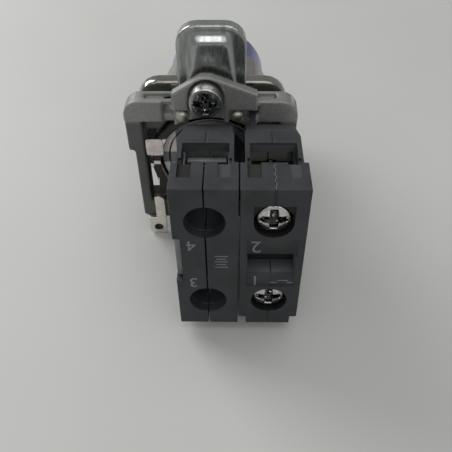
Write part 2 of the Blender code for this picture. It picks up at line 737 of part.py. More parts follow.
    head_front = rivet_seat_y - SEAT_GAP
    head_r = RIVET_HEAD / 2
    rivet = [
        (head_r * sin(pi / 2 * i / ARC_STEPS), head_front - RIVET_DOME * cos(pi / 2 * i / ARC_STEPS))
        for i in range(ARC_STEPS + 1)
    ]
    rivet += [
        (RIVET_SHANK / 2, head_front),
        (RIVET_SHANK / 2, BOSS_FRONT_Y - SEAT_GAP),
        (0.0, BOSS_FRONT_Y - SEAT_GAP),
    ]
    for side, label in ((-1, "rivet_left"), (1, "rivet_right")):
        place(turned(label, rivet, PIN_STEPS, side * RIVET_X, RIVET_Z), STEEL)
    tab_rear = COLLAR_REAR_Y - SEAT_GAP - TAB_THICKNESS
    tab_high = -tall + TAB_OVERLAP
    tab_low = tab_high - TAB_LENGTH
    tab_outline = rounded_outline(TAB_WIDTH / 2, tab_low, tab_high, TAB_WIDTH / 4)
    tab = extruded(
        "earth_tab", [(x - TAB_X, z) for x, z in tab_outline], 1, tab_rear, tab_rear + TAB_THICKNESS
    )
    eye = rod(
        "eye",
        1,
        (-TAB_X, tab_low + TAB_HOLE),
        TAB_HOLE / 2,
        tab_rear - CUT_PAST,
        tab_rear + TAB_THICKNESS + CUT_PAST,
        PIN_STEPS,
    )
    tab_left = -TAB_X - TAB_WIDTH / 2
    beside_neck = block(
        "beside_neck",
        (tab_left - CUT_PAST, tab_left + TAB_WIDTH - TAB_NECK),
        (tab_rear - CUT_PAST, tab_rear + TAB_THICKNESS + CUT_PAST),
        (tab_low + TAB_EYE_LENGTH, tab_high + CUT_PAST),
    )
    combine(tab, cuts=[eye, beside_neck])
    place(tab, STEEL)
    screw(
        "clamp_screw",
        CLAMP_SCREW_X,
        CLAMP_SCREW_Z,
        BOSS_REAR_Y - CLAMP_HEAD_PROUD,
        COLLAR_FRONT_Y - SEAT_GAP,
        CHROME,
        CLAMP_HEAD_HEIGHT,
    )


def build_lever():
    """The locking lever with its raised pad, and the two pins that it swings on."""
    half = LEVER_WIDTH / 2
    foot = LEVER_PIN_Z - LEVER_FOOT
    rim_y = LEVER_REAR_Y + PAD_PROUD

    def arch(low_half, high_half, low, high, radius):
        """An upright outline about the lever's middle, with a flat foot and a round-cornered top."""
        right = [
            (high_half - radius + radius * sin(pi / 2 * i / ARC_STEPS),
             high - radius + radius * cos(pi / 2 * i / ARC_STEPS))
            for i in range(ARC_STEPS + 1)
        ]
        right.append((low_half, low))
        return [(LEVER_X + x, z) for x, z in right] + [(LEVER_X - x, z) for x, z in reversed(right)]

    lever = extruded(
        "locking_lever", arch(half, half, foot, LEVER_TOP_Z, LEVER_CORNER), 1, rim_y, LEVER_FRONT_Y
    )
    pad_low, pad_high = LEVER_PIN_Z + LEVER_FOOT, LEVER_TOP_Z - PAD_DROP
    face = arch(PAD_WIDTH / 2, PAD_TOP_WIDTH / 2, pad_low, pad_high, PAD_CORNER)
    root = arch(
        PAD_WIDTH / 2 + PAD_SIDE_SLOPE,
        PAD_TOP_WIDTH / 2 + PAD_SIDE_SLOPE,
        pad_low,
        pad_high + PAD_TOP_SLOPE,
        PAD_CORNER,
    )
    pad = lofted("pad", face, LEVER_REAR_Y, root, rim_y)
    pad_foot = extruded("pad_foot", root, 1, rim_y - SHAFT_GAP / 2, LEVER_FRONT_Y - SHAFT_GAP)
    leg_in = half - LEVER_LEG
    gate_left, gate_right = LEVER_X - leg_in, LEVER_X + leg_in
    gate = extruded(
        "gate",
        [
            (gate_left, foot - CUT_PAST),
            *gable_line(gate_left, gate_right, BOSS_APEX_Z - LEVER_LUG_Z - SLIDE_GAP),
            (gate_right, foot - CUT_PAST),
        ],
        1,
        LEVER_REAR_Y - CUT_PAST,
        LEVER_FRONT_Y + CUT_PAST,
    )
    eye = rod(
        "eye",
        0,
        (LEVER_PIN_Y, LEVER_PIN_Z),
        LEVER_PIN_DIAMETER / 2 + SHAFT_GAP,
        -LEVER_WIDTH,
        LEVER_WIDTH,
        PIN_STEPS,
    )
    combine(lever, joins=[pad_foot, pad], cuts=[gate, eye])
    place(lever, CHROME, (0.0, LEVER_PIN_Y, LEVER_PIN_Z))
    for side, label in ((-1, "lever_pin_left"), (1, "lever_pin_right")):
        outer = LEVER_X + side * half
        ends = sorted((outer, outer - side * LEVER_PIN_LENGTH))
        pin = rod(label, 0, (LEVER_PIN_Y, LEVER_PIN_Z), LEVER_PIN_DIAMETER / 2, *ends, PIN_STEPS)
        place(pin, STEEL, (outer, LEVER_PIN_Y, LEVER_PIN_Z))


def block_outline(inset):
    """Side view of a block as (y, z): upright ends, slopes to the snout; inset moves every wall inwards."""
    rear = BLOCK_REAR_Y + inset
    front = BLOCK_FRONT_Y - inset
    end_z = BLOCK_HEIGHT / 2 - inset
    slope_z = SLOPE_HEIGHT / 2 - inset
    snout_z = SNOUT_HEIGHT / 2 - inset
    upper = [
        (rear, end_z),
        (BLOCK_REAR_Y + SHOULDER_DEPTH - inset * tan(pi / 8), end_z),
        (BLOCK_REAR_Y + SLOPE_DEPTH - inset / 2, slope_z),
        (front, snout_z),
    ]
    return upper + [(y, -z) for y, z in reversed(upper)]


def shell(name, centre_x, side, extra_joins=(), extra_cuts=(), pocket=None):
    """One half of a block's casing; side is -1 for the left half and 1 for the right half."""
    seam_x = centre_x + side * SEAM / 2
    outer_x = centre_x + side * BLOCK_HALF
    case = extruded(name, block_outline(0.0), 0, *sorted((seam_x, outer_x)))
    inner_x = centre_x + side * (BLOCK_HALF - BLOCK_WALL)
    room = block_outline(BLOCK_WALL)
    if pocket:
        floor_y, wall_z = pocket
        room = [
            *room,
            (BLOCK_REAR_Y + BLOCK_WALL, -wall_z),
            (floor_y, -wall_z),
            (floor_y, wall_z),
            (BLOCK_REAR_Y + BLOCK_WALL, wall_z),
        ]
    cavity = extruded("cavity", room, 0, *sorted((seam_x - side * CUT_PAST, inner_x)))
    end = BLOCK_HEIGHT / 2
    step = block(
        "side_step",
        sorted((outer_x - side * BLOCK_SIDE_STEP, outer_x + side * CUT_PAST)),
        (BLOCK_REAR_Y + BLOCK_SIDE_STEP_DEPTH, BLOCK_FRONT_Y + CUT_PAST),
        (-end - CUT_PAST, end + CUT_PAST),
    )
    cuts = [cavity, step]
    for up in (-1, 1):
        window_z = sorted((up * (end - BLOCK_WALL - CUT_PAST), up * (end + CUT_PAST)))
        groove_z = sorted((up * (end - GROOVE_DEPTH), up * (end + CUT_PAST)))
        window_edge = centre_x + side * WINDOW_WIDTH / 2
        cuts.append(
            block(
                "window",
                sorted((seam_x - side * CUT_PAST, window_edge)),
                (WINDOW_REAR_Y, WINDOW_FRONT_Y),
                window_z,
            )
        )
        cuts.append(
            block(
                "groove",
                sorted((window_edge + side * GROOVE_DEPTH, window_edge - side * GROOVE_WIDTH)),
                (WINDOW_REAR_Y - GROOVE_LENGTH, WINDOW_REAR_Y + CUT_PAST),
                groove_z,
            )
        )
    combine(case, joins=list(extra_joins), cuts=[*cuts, *extra_cuts])
    return place(case, BLACK_CASE)


def hook(centre_x, z):
    """A block's hook: a tongue from the slope through its slot in the collar."""
    half = SLOT_WIDTH / 2 - SEAT_GAP
    tall = SLOT_HEIGHT / 2 - SEAT_GAP
    return block(
        "hook",
        (centre_x - half, centre_x + half),
        (BLOCK_REAR_Y + SHOULDER_DEPTH, COLLAR_REAR_Y + HOOK_LENGTH),
        (z - tall, z + tall),
    )


def terminal_hole(centre_x, z, diameter):
    """A round screwdriver way through a block's rear wall."""
    return rod(
        "terminal_hole",
        1,
        (centre_x, z),
        diameter / 2,
        BLOCK_REAR_Y - CUT_PAST,
        BLOCK_REAR_Y + BLOCK_WALL + CUT_PAST,
        SCREW_STEPS,
    )


def wire_clamp(name, centre_x, z, rear_y):
    """A pressure plate under a terminal screw's head."""
    half = WIRE_CLAMP_WIDTH / 2
    tall = WIRE_CLAMP_HEIGHT / 2
    plate = block(
        name,
        (centre_x - half, centre_x + half),
        (rear_y, rear_y + WIRE_CLAMP_THICKNESS),
        (z - tall, z + tall),
    )
    hole = rod(
        "hole",
        1,
        (centre_x, z),
        SCREW_SHANK / 2 + SHAFT_GAP,
        rear_y - CUT_PAST,
        rear_y + WIRE_CLAMP_THICKNESS + CUT_PAST,
        SCREW_STEPS,
    )
    combine(plate, cuts=[hole])
    return place(plate, STEEL)


def strip_hole(centre_x, z):
    """The screw's way through a terminal strip."""
    return rod(
        "strip_hole",
        1,
        (centre_x, z),
        SCREW_SHANK / 2 + SHAFT_GAP,
        STRIP_REAR_Y - CUT_PAST,
        STRIP_REAR_Y + STRIP_THICKNESS + CUT_PAST,
        SCREW_STEPS,
    )


def terminal(label, kind, centre_x, up, head_rear):
    """A terminal's screw and wire clamp at one end of a block."""
    z = up * TERMINAL_Z
    clamp_y = head_rear + SCREW_HEAD_HEIGHT + SEAT_GAP
    shank_end = STRIP_REAR_Y + STRIP_THICKNESS + SCREW_SHANK / 2
    screw(f"{kind}_screw_{label}", centre_x, z, head_rear, shank_end, STEEL)
    wire_clamp(f"{kind}_clamp_{label}", centre_x, z, clamp_y)


def build_light_block():
    """The light block in the centre bay."""
    low_slot = hook_slots()["centre"][0]
    for side, label in ((-1, "left"), (1, "right")):
        cuts = [terminal_hole(LIGHT_X, up * TERMINAL_Z, LIGHT_HOLE) for up in (-1, 1)]
        cuts.append(
            rod(
                "lamp_hole",
                1,
                (LIGHT_X, 0.0),
                LAMP_DIAMETER / 2 + SEAT_GAP,
                CAVITY_FRONT_Y - CUT_PAST,
                BLOCK_FRONT_Y + CUT_PAST,
                SCREW_STEPS,
            )
        )
        joins = []
        if side < 0:
            outer_x = LIGHT_X - BLOCK_HALF
            cuts.append(
                block(
                    "notch",
                    (outer_x - CUT_PAST, outer_x + NOTCH_DEPTH),
                    (BLOCK_REAR_Y - CUT_PAST, BLOCK_REAR_Y + NOTCH_LENGTH),
                    (NOTCH_LOW_Z, NOTCH_HIGH_Z),
                )
            )
        else:
            joins.append(hook(*low_slot))
        shell(f"light_shell_{label}", LIGHT_X, side, joins, cuts)
    for up, label in ((1, "upper"), (-1, "lower")):
        terminal(label, "light", LIGHT_X, up, CLAMPED_HEAD_Y)
        half = STRIP_WIDTH / 2
        outer_z = TERMINAL_Z + WIRE_CLAMP_HEIGHT / 2
        strip = block(
            f"light_terminal_{label}",
            (LIGHT_X - half, LIGHT_X + half),
            (STRIP_REAR_Y, STRIP_REAR_Y + STRIP_THICKNESS),
            sorted((up * STRIP_INNER_Z, up * outer_z)),
        )
        combine(strip, cuts=[strip_hole(LIGHT_X, up * TERMINAL_Z)])
        place(strip, STEEL)
    board_rear = STRIP_REAR_Y + STRIP_THICKNESS + SEAT_GAP
    board = block(
        "led_board",
        (LIGHT_X - BOARD_THICKNESS / 2, LIGHT_X + BOARD_THICKNESS / 2),
        (board_rear, CAVITY_FRONT_Y - SEAT_GAP),
        (-BOARD_HEIGHT / 2, BOARD_HEIGHT / 2),
    )
    place(board, BOARD_GREEN)
    lamp_r = LAMP_DIAMETER / 2
    lamp_low = CAVITY_FRONT_Y
    lamp_top = lamp_low + LAMP_REACH
    profile = [(0.0, lamp_low), (lamp_r, lamp_low)]
    for i in range(ARC_STEPS + 1):
        turn = pi / 2 * i / ARC_STEPS
        profile.append((lamp_r * cos(turn), lamp_top - lamp_r + lamp_r * sin(turn)))
    place(turned("led_lamp", profile, SCREW_STEPS, LIGHT_X), LAMP_CLEAR)


def fixed_contact(label, up):
    """A stepped strip from a terminal to a contact tip that faces the bridge."""
    y0 = STRIP_REAR_Y
    y1 = STRIP_REAR_Y + STRIP_THICKNESS
    y2 = y1 - STRIP_STEP
    y3 = y2 - STRIP_THICKNESS
    outer_z = TERMINAL_Z + CONTACT_STRIP_END
    leg_in = STRIP_LEG_Z
    leg_out = STRIP_LEG_Z + STRIP_THICKNESS
    side_view = [
        (y1, outer_z),
        (y1, leg_in),
        (y2, leg_in),
        (y2, STRIP_INNER_Z),
        (y3, STRIP_INNER_Z),
        (y3, leg_out),
        (y0, leg_out),
        (y0, outer_z),
    ]
    half = STRIP_WIDTH / 2
    strip = extruded(
        f"fixed_contact_{label}",
        [(y, up * z) for y, z in side_view],
        0,
        CONTACT_X - half,
        CONTACT_X + half,
    )
    tip = rod(
        "tip",
        1,
        (CONTACT_X, up * STRIP_TIP_Z),
        TIP_DIAMETER / 2,
        y2 - STRIP_THICKNESS / 2,
        y2 + TIP_HEIGHT,
        PIN_STEPS,
    )
    combine(strip, joins=[tip], cuts=[strip_hole(CONTACT_X, up * TERMINAL_Z)])
    place(strip, BRASS)
    return y2 + TIP_HEIGHT


def build_contact_block():
    """The normally-open contact block in the right bay."""
    pocket_z = POCKET_HEIGHT / 2
    pocket_floor = BLOCK_REAR_Y + POCKET_DEPTH
    wall_z = pocket_z + BLOCK_WALL
    inner_floor = pocket_floor + BLOCK_WALL
    past_rear = BLOCK_REAR_Y - CUT_PAST
    head_hole = SCREW_HEAD + 2 * SLIDE_GAP
    nose_left = CONTACT_X - BLOCK_HALF + BLOCK_WALL + SLIDE_GAP
    nose = (nose_left, nose_left + NOSE_WIDTH)
    end = BLOCK_HEIGHT / 2
    for side, label in ((-1, "left"), (1, "right")):
        outer_x = CONTACT_X + side * BLOCK_HALF
        cuts = [terminal_hole(CONTACT_X, up * TERMINAL_Z, head_hole) for up in (-1, 1)]
        cuts.append(
            block(
                "pocket",
                (CONTACT_X - POCKET_WIDTH / 2, CONTACT_X + POCKET_WIDTH / 2),
                (past_rear, pocket_floor),
                (-pocket_z, pocket_z),
            )
        )
        for up in (-1, 1):
            cuts.append(
                block(
                    "print_plate",
                    (CONTACT_X - PLATE_WIDTH / 2, CONTACT_X + PLATE_WIDTH / 2),
                    (past_rear, BLOCK_REAR_Y + PLATE_DEPTH),
                    sorted((up * (pocket_z - PLATE_DEPTH), up * (pocket_z + PLATE_HEIGHT))),
                )
            )
        cuts.append(
            block(
                "screw_recess",
                (CONTACT_X - head_hole / 2, CONTACT_X + head_hole / 2),
                (past_rear, BLOCK_REAR_Y + CONTACT_HEAD_DEPTH),
                (TERMINAL_Z, TERMINAL_Z + head_hole / 2 + PLATE_DEPTH),
            )
        )
        cuts.append(
            block(
                "foot_corner",
                sorted((outer_x - side * CORNER_TRIM, outer_x + side * CUT_PAST)),
                (past_rear, BLOCK_REAR_Y + SLOPE_DEPTH),
                (-end - CUT_PAST, -end + TONGUE_TRIM),
            )
        )
        joins = []
        if side < 0:
            joins = [hook(x, z) for x, z in hook_slots()["right"]]
            cuts.append(
                block(
                    "nose_way",
                    (nose[0] - SLIDE_GAP, nose[1] + SLIDE_GAP),
                    (CAVITY_FRONT_Y - CUT_PAST, BLOCK_FRONT_Y + CUT_PAST),
                    (-NOSE_HEIGHT / 2 - SLIDE_GAP, NOSE_HEIGHT / 2 + SLIDE_GAP),
                )
            )
        shell(f"contact_shell_{label}", CONTACT_X, side, joins, cuts, (inner_floor, wall_z))
    for up, label in ((1, "upper"), (-1, "lower")):
        terminal(label, "contact", CONTACT_X, up, BLOCK_REAR_Y + CONTACT_HEAD_DEPTH)
        tip_y = fixed_contact(label, up)

    bridge_rear = tip_y + BUTTON_TRAVEL + SEAT_GAP
    plate_rear = bridge_rear + TIP_HEIGHT
    bridge_z = STRIP_LEG_Z - 2 * SLIDE_GAP
    half = BRIDGE_WIDTH / 2
    bridge = block(
        "contact_bridge",
        (CONTACT_X - half, CONTACT_X + half),
        (plate_rear, plate_rear + BRIDGE_THICKNESS),
        (-bridge_z, bridge_z),
    )
    tips = [
        rod(
            "tip",
            1,
            (CONTACT_X, up * STRIP_TIP_Z),
            TIP_DIAMETER / 2,
            bridge_rear,
            plate_rear + BRIDGE_THICKNESS / 2,
            PIN_STEPS,
        )
        for up in (-1, 1)
    ]
    combine(bridge, joins=tips)
    place(bridge, BRASS)

    body_rear = plate_rear + BRIDGE_THICKNESS + SEAT_GAP
    body_front = CAVITY_FRONT_Y - SEAT_GAP
    half = PLUNGER_WIDTH / 2
    tall = PLUNGER_HEIGHT / 2
    plunger = block(
        "contact_plunger",
        (CONTACT_X - half, CONTACT_X + half),
        (body_rear, body_front),
        (-tall, tall),
    )
    tip = block(
        "nose",
        nose,
        (body_front - NOSE_WIDTH / 2, PUSHER_REAR_Y - SEAT_GAP),
        (-NOSE_HEIGHT / 2, NOSE_HEIGHT / 2),
    )
    combine(plunger, joins=[tip])
    place(plunger, WHITE_PLASTIC)
    coil(
        "contact_spring",
        STEEL,
        (CONTACT_X, 0.0),
        (CONTACT_SPRING_DIAMETER - CONTACT_SPRING_WIRE) / 2,
        CONTACT_SPRING_WIRE,
        CONTACT_SPRING_TURNS,
        inner_floor + SEAT_GAP,
        plate_rear - SEAT_GAP,
    )


def main():
    """Builds the object, from the head back to the wiring blocks."""
    build_head()
    build_collar()
    build_lever()
    build_light_block()
    build_contact_block()


main()
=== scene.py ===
"""Looks of an illuminated panel push button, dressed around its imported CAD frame.

Metres, +Z up, in the frame's own axes: +Y runs along the button's axis from the wiring blocks
to the lens, +Z points up to the locking lever, and the table lies below. Every CAD node gets a
finished piece that stands for it and rides on the node's body.
"""

from __future__ import annotations

import json
import logging
import math
from dataclasses import dataclass
from enum import Enum

import bmesh
import bpy
import numpy as np
from mathutils import Matrix, Vector

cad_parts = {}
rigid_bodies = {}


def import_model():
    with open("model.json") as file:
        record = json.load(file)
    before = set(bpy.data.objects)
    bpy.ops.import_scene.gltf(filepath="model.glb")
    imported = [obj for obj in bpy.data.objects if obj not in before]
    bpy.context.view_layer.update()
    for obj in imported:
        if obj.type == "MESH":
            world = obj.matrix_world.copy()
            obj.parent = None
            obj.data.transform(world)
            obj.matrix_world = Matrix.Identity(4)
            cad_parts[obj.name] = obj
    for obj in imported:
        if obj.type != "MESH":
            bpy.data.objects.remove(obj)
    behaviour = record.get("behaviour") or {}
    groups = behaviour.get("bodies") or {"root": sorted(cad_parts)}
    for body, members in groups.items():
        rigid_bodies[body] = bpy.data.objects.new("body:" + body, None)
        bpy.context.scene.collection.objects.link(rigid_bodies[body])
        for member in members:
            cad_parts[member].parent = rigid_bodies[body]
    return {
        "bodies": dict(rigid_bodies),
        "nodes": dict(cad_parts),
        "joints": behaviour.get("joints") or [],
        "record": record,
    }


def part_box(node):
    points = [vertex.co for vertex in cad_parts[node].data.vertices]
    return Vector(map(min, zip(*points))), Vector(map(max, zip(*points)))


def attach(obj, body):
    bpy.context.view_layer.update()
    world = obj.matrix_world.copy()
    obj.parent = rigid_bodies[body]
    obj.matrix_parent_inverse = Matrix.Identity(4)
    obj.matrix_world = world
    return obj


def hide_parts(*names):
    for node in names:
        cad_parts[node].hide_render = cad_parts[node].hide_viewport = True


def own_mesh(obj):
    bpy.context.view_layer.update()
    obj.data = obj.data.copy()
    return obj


MM = 0.001
MERGE_DISTANCE = 1e-6
FLAT_ANGLE = math.radians(0.5)
CREASE = 35.0
ALL_SMOOTH = 180.0
EASED_CREASE = 30.0
LOG = logging.getLogger("push_button")

Pair = tuple[float, float]
Point = tuple[float, float, float]
Colour = tuple[float, float, float]
Zone = tuple[Point, Point, Colour]
Socket = bpy.types.NodeSocket
Material = bpy.types.Material
Piece = bpy.types.Object
Shape = bmesh.types.BMesh

# The ends between which a noise is spread: softly over its whole range, or with clearer borders.
BROAD: Pair = (0.3, 0.7)
CLEAR: Pair = (0.35, 0.65)
LEVELS = (("upper", 1.0), ("lower", -1.0))


class Recess(Enum):
    """The driver recess in a screw's head."""

    CROSS = "cross"
    CROSS_AND_SLOT = "cross and slot"


class NodeGraph:
    """A material's node tree, with its Principled shader and its object coordinates at hand."""

    def __init__(self, name: str) -> None:
        """Starts a new material.

        Args:
            name: the material's name.
        """
        self.material = bpy.data.materials.new(name)
        self.material.use_nodes = True
        tree = self.material.node_tree
        self.nodes = tree.nodes
        self.links = tree.links
        self.shader = tree.nodes["Principled BSDF"]
        self.place = self.add("ShaderNodeTexCoord").outputs["Object"]

    def fill(self, socket: Socket, value: Socket | float | tuple[float, ...]) -> None:
        """Links a source to an input, or sets the input's own value.

        Args:
            socket: the input.
            value: the source, or a number, vector or colour that is the same all over.
        """
        if isinstance(value, Socket):
            self.links.new(value, socket)
        else:
            socket.default_value = value

    def add(
        self, kind: str, inputs: dict[str | int, object] | None = None, **settings: object
    ) -> bpy.types.Node:
        """Adds a node.

        Args:
            kind: Blender's name of the node type.
            inputs: what fills its inputs, by name or number.
            settings: attributes of the node, by name.

        Returns:
            The new node.
        """
        node = self.nodes.new(kind)
        for key, value in settings.items():
            setattr(node, key, value)
        for key, value in (inputs or {}).items():
            self.fill(node.inputs[key], value)
        return node

    def drive(self, **values: Socket | float) -> None:
        """Fills the shader's inputs, named with underscores for spaces."""
        for key, value in values.items():
            self.fill(self.shader.inputs[key.replace("_", " ")], value)

    def noise(
        self, feature: float, detail: float = 3.0, stretch: Point = (1.0, 1.0, 1.0)
    ) -> Socket:
        """Cloudy noise.

        Args:
            feature: the size of its blotches, in metres.
            detail: how many finer layers it has.
            stretch: how much denser the blotches are along each axis.

        Returns:
            A number from 0 to 1.
        """
        scaled = self.add("ShaderNodeMapping", {"Vector": self.place, "Scale": stretch})
        inputs = {"Vector": scaled.outputs["Vector"], "Scale": 1.0 / feature, "Detail": detail}
        return self.add("ShaderNodeTexNoise", inputs).outputs["Fac"]

    def span(
        self, source: Socket, low: float, high: float, start: float = 0.0, end: float = 1.0
    ) -> Socket:
        """Maps a source from low..high to start..end, held at both ends."""
        inputs = {"From Min": low, "From Max": high, "To Min": start, "To Max": end}
        return self.add("ShaderNodeMapRange", {"Value": source, **inputs}).outputs["Result"]

    def maths(self, operation: str, *operands: Socket | float) -> Socket:
        """The result of one of Blender's Math operations on its operands."""
        node = self.add("ShaderNodeMath", dict(enumerate(operands)), operation=operation)
        return node.outputs["Value"]

    def times(self, first: Socket, second: Socket) -> Socket:
        """The product of two sources."""
        return self.maths("MULTIPLY", first, second)

    def tint(self, share: Socket, first: Colour | Socket, second: Colour | Socket) -> Socket:
        """Mixes two colours.

        Args:
            share: 0 gives the first colour, 1 the second.
            first: a colour, or a source of one.
            second: a colour, or a source of one.

        Returns:
            The mixed colour.
        """
        node = self.add("ShaderNodeMix", {"Factor": share}, data_type="RGBA")
        colours = [socket for socket in node.inputs if socket.type == "RGBA"]
        for socket, colour in zip(colours, (first, second)):
            self.fill(socket, (*colour, 1.0) if isinstance(colour, tuple) else colour)
        return next(socket for socket in node.outputs if socket.type == "RGBA")

    def surface(self, feature: str) -> Socket:
        """What Blender tells of the surface, such as its normal or how far it sticks out."""
        return self.add("ShaderNodeNewGeometry").outputs[feature]

    def parts(self, vector: Socket) -> bpy.types.bpy_prop_collection:
        """The X, Y and Z of a source of vectors, by name."""
        return self.add("ShaderNodeSeparateXYZ", {"Vector": vector}).outputs

    def from_axis(self, x: float, z: float) -> Socket:
        """The distance from a line that runs along Y.

        Args:
            x: X of the line.
            z: Z of the line.

        Returns:
            The distance in metres.
        """
        place = self.parts(self.place)
        flat = self.add("ShaderNodeCombineXYZ", {axis: place[axis] for axis in "XZ"})
        ends = {0: flat.outputs["Vector"], 1: (x, 0.0, z)}
        return self.add("ShaderNodeVectorMath", ends, operation="DISTANCE").outputs["Value"]

    def in_box(self, low: Point, high: Point) -> Socket:
        """Tells what lies in a box, or in its mirror image below the object's middle.

        Args:
            low: the box's lowest corner, with Z counted from the middle either way.
            high: its highest corner.

        Returns:
            1 inside the box and 0 outside.
        """
        place = self.parts(self.place)
        sources = (place["X"], place["Y"], self.maths("ABSOLUTE", place["Z"]))
        share = None
        for source, start, end in zip(sources, low, high):
            inside = self.maths("COMPARE", source, (start + end) / 2, (end - start) / 2)
            share = inside if share is None else self.times(share, inside)
        return share

    def relief(self, *layers: tuple[Socket, float, float]) -> None:
        """Stacks bumps on the shader's normal.

        Args:
            layers: (height source, strength, height in metres), the coarsest first.
        """
        below: dict[str | int, object] = {}
        for height, strength, distance in layers:
            inputs = {"Height": height, "Strength": strength, "Distance": distance}
            bump = self.add("ShaderNodeBump", {**inputs, **below})
            below = {"Normal": bump.outputs["Normal"]}
        self.drive(**below)


@dataclass(frozen=True)
class Finish:
    """A named finish, which becomes one material."""

    name: str

    def build(self) -> Material:
        """Makes the material.

        Returns:
            The material.
        """
        graph = NodeGraph(self.name)
        self.dress(graph)
        return graph.material

    def dress(self, graph: NodeGraph) -> None:
        """Fills the material's graph, which each kind of finish does in its own way."""
        raise NotImplementedError


@dataclass(frozen=True)
class MouldedPlastic(Finish):
    """Moulded plastic with a fine spark-eroded grain and a little dust on what faces up."""

    dark: Colour
    pale: Colour
    dust: Colour
    dust_share: float = 0.35
    gloss: Pair = (0.42, 0.6)
    shine: float = 0.5
    blotch: float = 4.0 * MM
    dusty_from: float = 0.2
    dust_speck: float = 1.1 * MM
    ripple: float = 2.0 * MM
    ripple_relief: Pair = (0.25, 0.04 * MM)
    grain: float = 0.12 * MM
    grain_relief: Pair = (0.3, 0.02 * MM)

    def dress(self, graph: NodeGraph) -> None:
        """Gives blotched colour, dust by the normal, grain as relief.

        Args:
            graph: the material's graph.
        """
        blotches = graph.noise(self.blotch)
        body = graph.tint(graph.span(blotches, *CLEAR), self.dark, self.pale)
        upward = graph.parts(graph.surface("Normal"))["Z"]
        settled = graph.times(
            graph.span(upward, self.dusty_from, 1.0, 0.0, self.dust_share),
            graph.span(graph.noise(self.dust_speck, detail=5.0), *BROAD),
        )
        graph.drive(
            Base_Color=self.tone(graph, graph.tint(settled, body, self.dust)),
            Roughness=graph.span(blotches, *BROAD, *self.gloss),
            Specular_IOR_Level=self.shine,
        )
        graph.relief(
            (graph.noise(self.ripple, detail=2.0), *self.ripple_relief),
            (graph.noise(self.grain, detail=2.0), *self.grain_relief),
        )

    def tone(self, graph: NodeGraph, body: Socket) -> Socket:
        """The plastic's colour as it is."""
        return body


@dataclass(frozen=True)
class ZonedCasing(MouldedPlastic):
    """Moulded plastic with zones of painted light and shade, such as a paler inside and darker
    recesses.

    A zone is a box's two corners in millimetres, with Z counted both ways, and its colour.
    """

    zones: tuple[Zone, ...] = ()

    def tone(self, graph: NodeGraph, body: Socket) -> Socket:
        """Lays each zone's colour over the ones before it.

        Args:
            graph: the material's graph.
            body: the plastic's own colour.

        Returns:
            The colour with its zones.
        """
        for low, high, colour in self.zones:
            corners = (tuple(MM * part for part in corner) for corner in (low, high))
            body = graph.tint(graph.in_box(*corners), body, colour)
        return body


@dataclass(frozen=True)
class PolishedPlate(Finish):
    """Bright chrome plate over a casting, with finger marks and faint pits."""

    colour: Colour
    smeared: Colour
    gloss: Pair = (0.06, 0.2)
    waviness: float = 0.05
    streak: Point = (1.0, 1.0, 2.2)
    smear: float = 1.6 * MM
    smear_ends: Pair = (0.35, 0.7)
    wave: float = 1.2 * MM
    wave_height: float = 0.1 * MM
    pit: float = 0.08 * MM
    pit_relief: Pair = (0.05, 0.01 * MM)

    def dress(self, graph: NodeGraph) -> None:
        """Gives colour and roughness in smears, waves and pits as relief.

        Args:
            graph: the material's graph.
        """
        smears = graph.noise(self.smear, 4.0, self.streak)
        graph.drive(
            Base_Color=self.tone(graph, smears),
            Metallic=1.0,
            Roughness=graph.span(smears, *BROAD, *self.gloss),
        )
        graph.relief(
            (graph.noise(self.wave, detail=1.0), self.waviness, self.wave_height),
            (graph.noise(self.pit, detail=2.0), *self.pit_relief),
        )

    def tone(self, graph: NodeGraph, smears: Socket) -> Socket:
        """The plate's colour, smeared in places."""
        return graph.tint(graph.span(smears, *self.smear_ends), self.colour, self.smeared)


@dataclass(frozen=True)
class BarrelPlate(PolishedPlate):
    """Chrome plate with painted shade on the barrel's rear end, painted reflections in two bands
    on it and on the lugs, and a painted highlight low on the lugs.
    """

    # Painted shade on the barrel's end, painted reflections on it and on the lugs, a painted
    # highlight low on the lugs.
    end_shade: Colour = (0.045, 0.044, 0.043)
    wear_and_glint: Colour = (0.97, 0.96, 0.94)
    painted_lit: Colour = (0.75, 0.71, 0.68)
    end_y: float = -4.52 * MM
    lug_y: float = -3.2 * MM
    barrel_radius: float = 10.9 * MM
    glint_below: float = -1.4 * MM
    reflection_patches: tuple[Pair, ...] = ((1.8 * MM, 5.4 * MM), (-0.5 * MM, 0.5 * MM))
    blur: float = 0.1 * MM
    reflection_blur: float = 0.3 * MM

    def tone(self, graph: NodeGraph, smears: Socket) -> Socket:
        """Picks the plate's colour by how far back and how far from the axis it lies.

        Args:
            graph: the material's graph.
            smears: the noise of the finger marks.

        Returns:
            The colour.
        """
        place = graph.parts(graph.place)
        radius = graph.from_axis(0.0, 0.0)
        blur, reflection_blur = self.blur, self.reflection_blur
        # Painted shade on the barrel's end, with painted reflections in two bands on it.
        at_end = graph.span(place["Y"], self.end_y + blur, self.end_y)
        at_lug = graph.times(
            graph.span(place["Y"], self.lug_y + blur, self.lug_y),
            graph.span(radius, self.barrel_radius, self.barrel_radius + blur),
        )
        low_on_lug = graph.times(
            at_lug, graph.span(place["Z"], self.glint_below + blur, self.glint_below)
        )
        end: Colour | Socket = self.end_shade
        for low, high in self.reflection_patches:
            in_patch = graph.times(
                graph.span(place["Z"], low, low + reflection_blur),
                graph.span(place["Z"], high, high - reflection_blur),
            )
            end = graph.tint(in_patch, end, self.painted_lit)
        plain = super().tone(graph, smears)
        # Painted reflection on the lugs, and a painted highlight low on them.
        wear_and_painted_light = graph.tint(at_lug, graph.tint(at_end, plain, end), self.painted_lit)
        return graph.tint(low_on_lug, wear_and_painted_light, self.wear_and_glint)


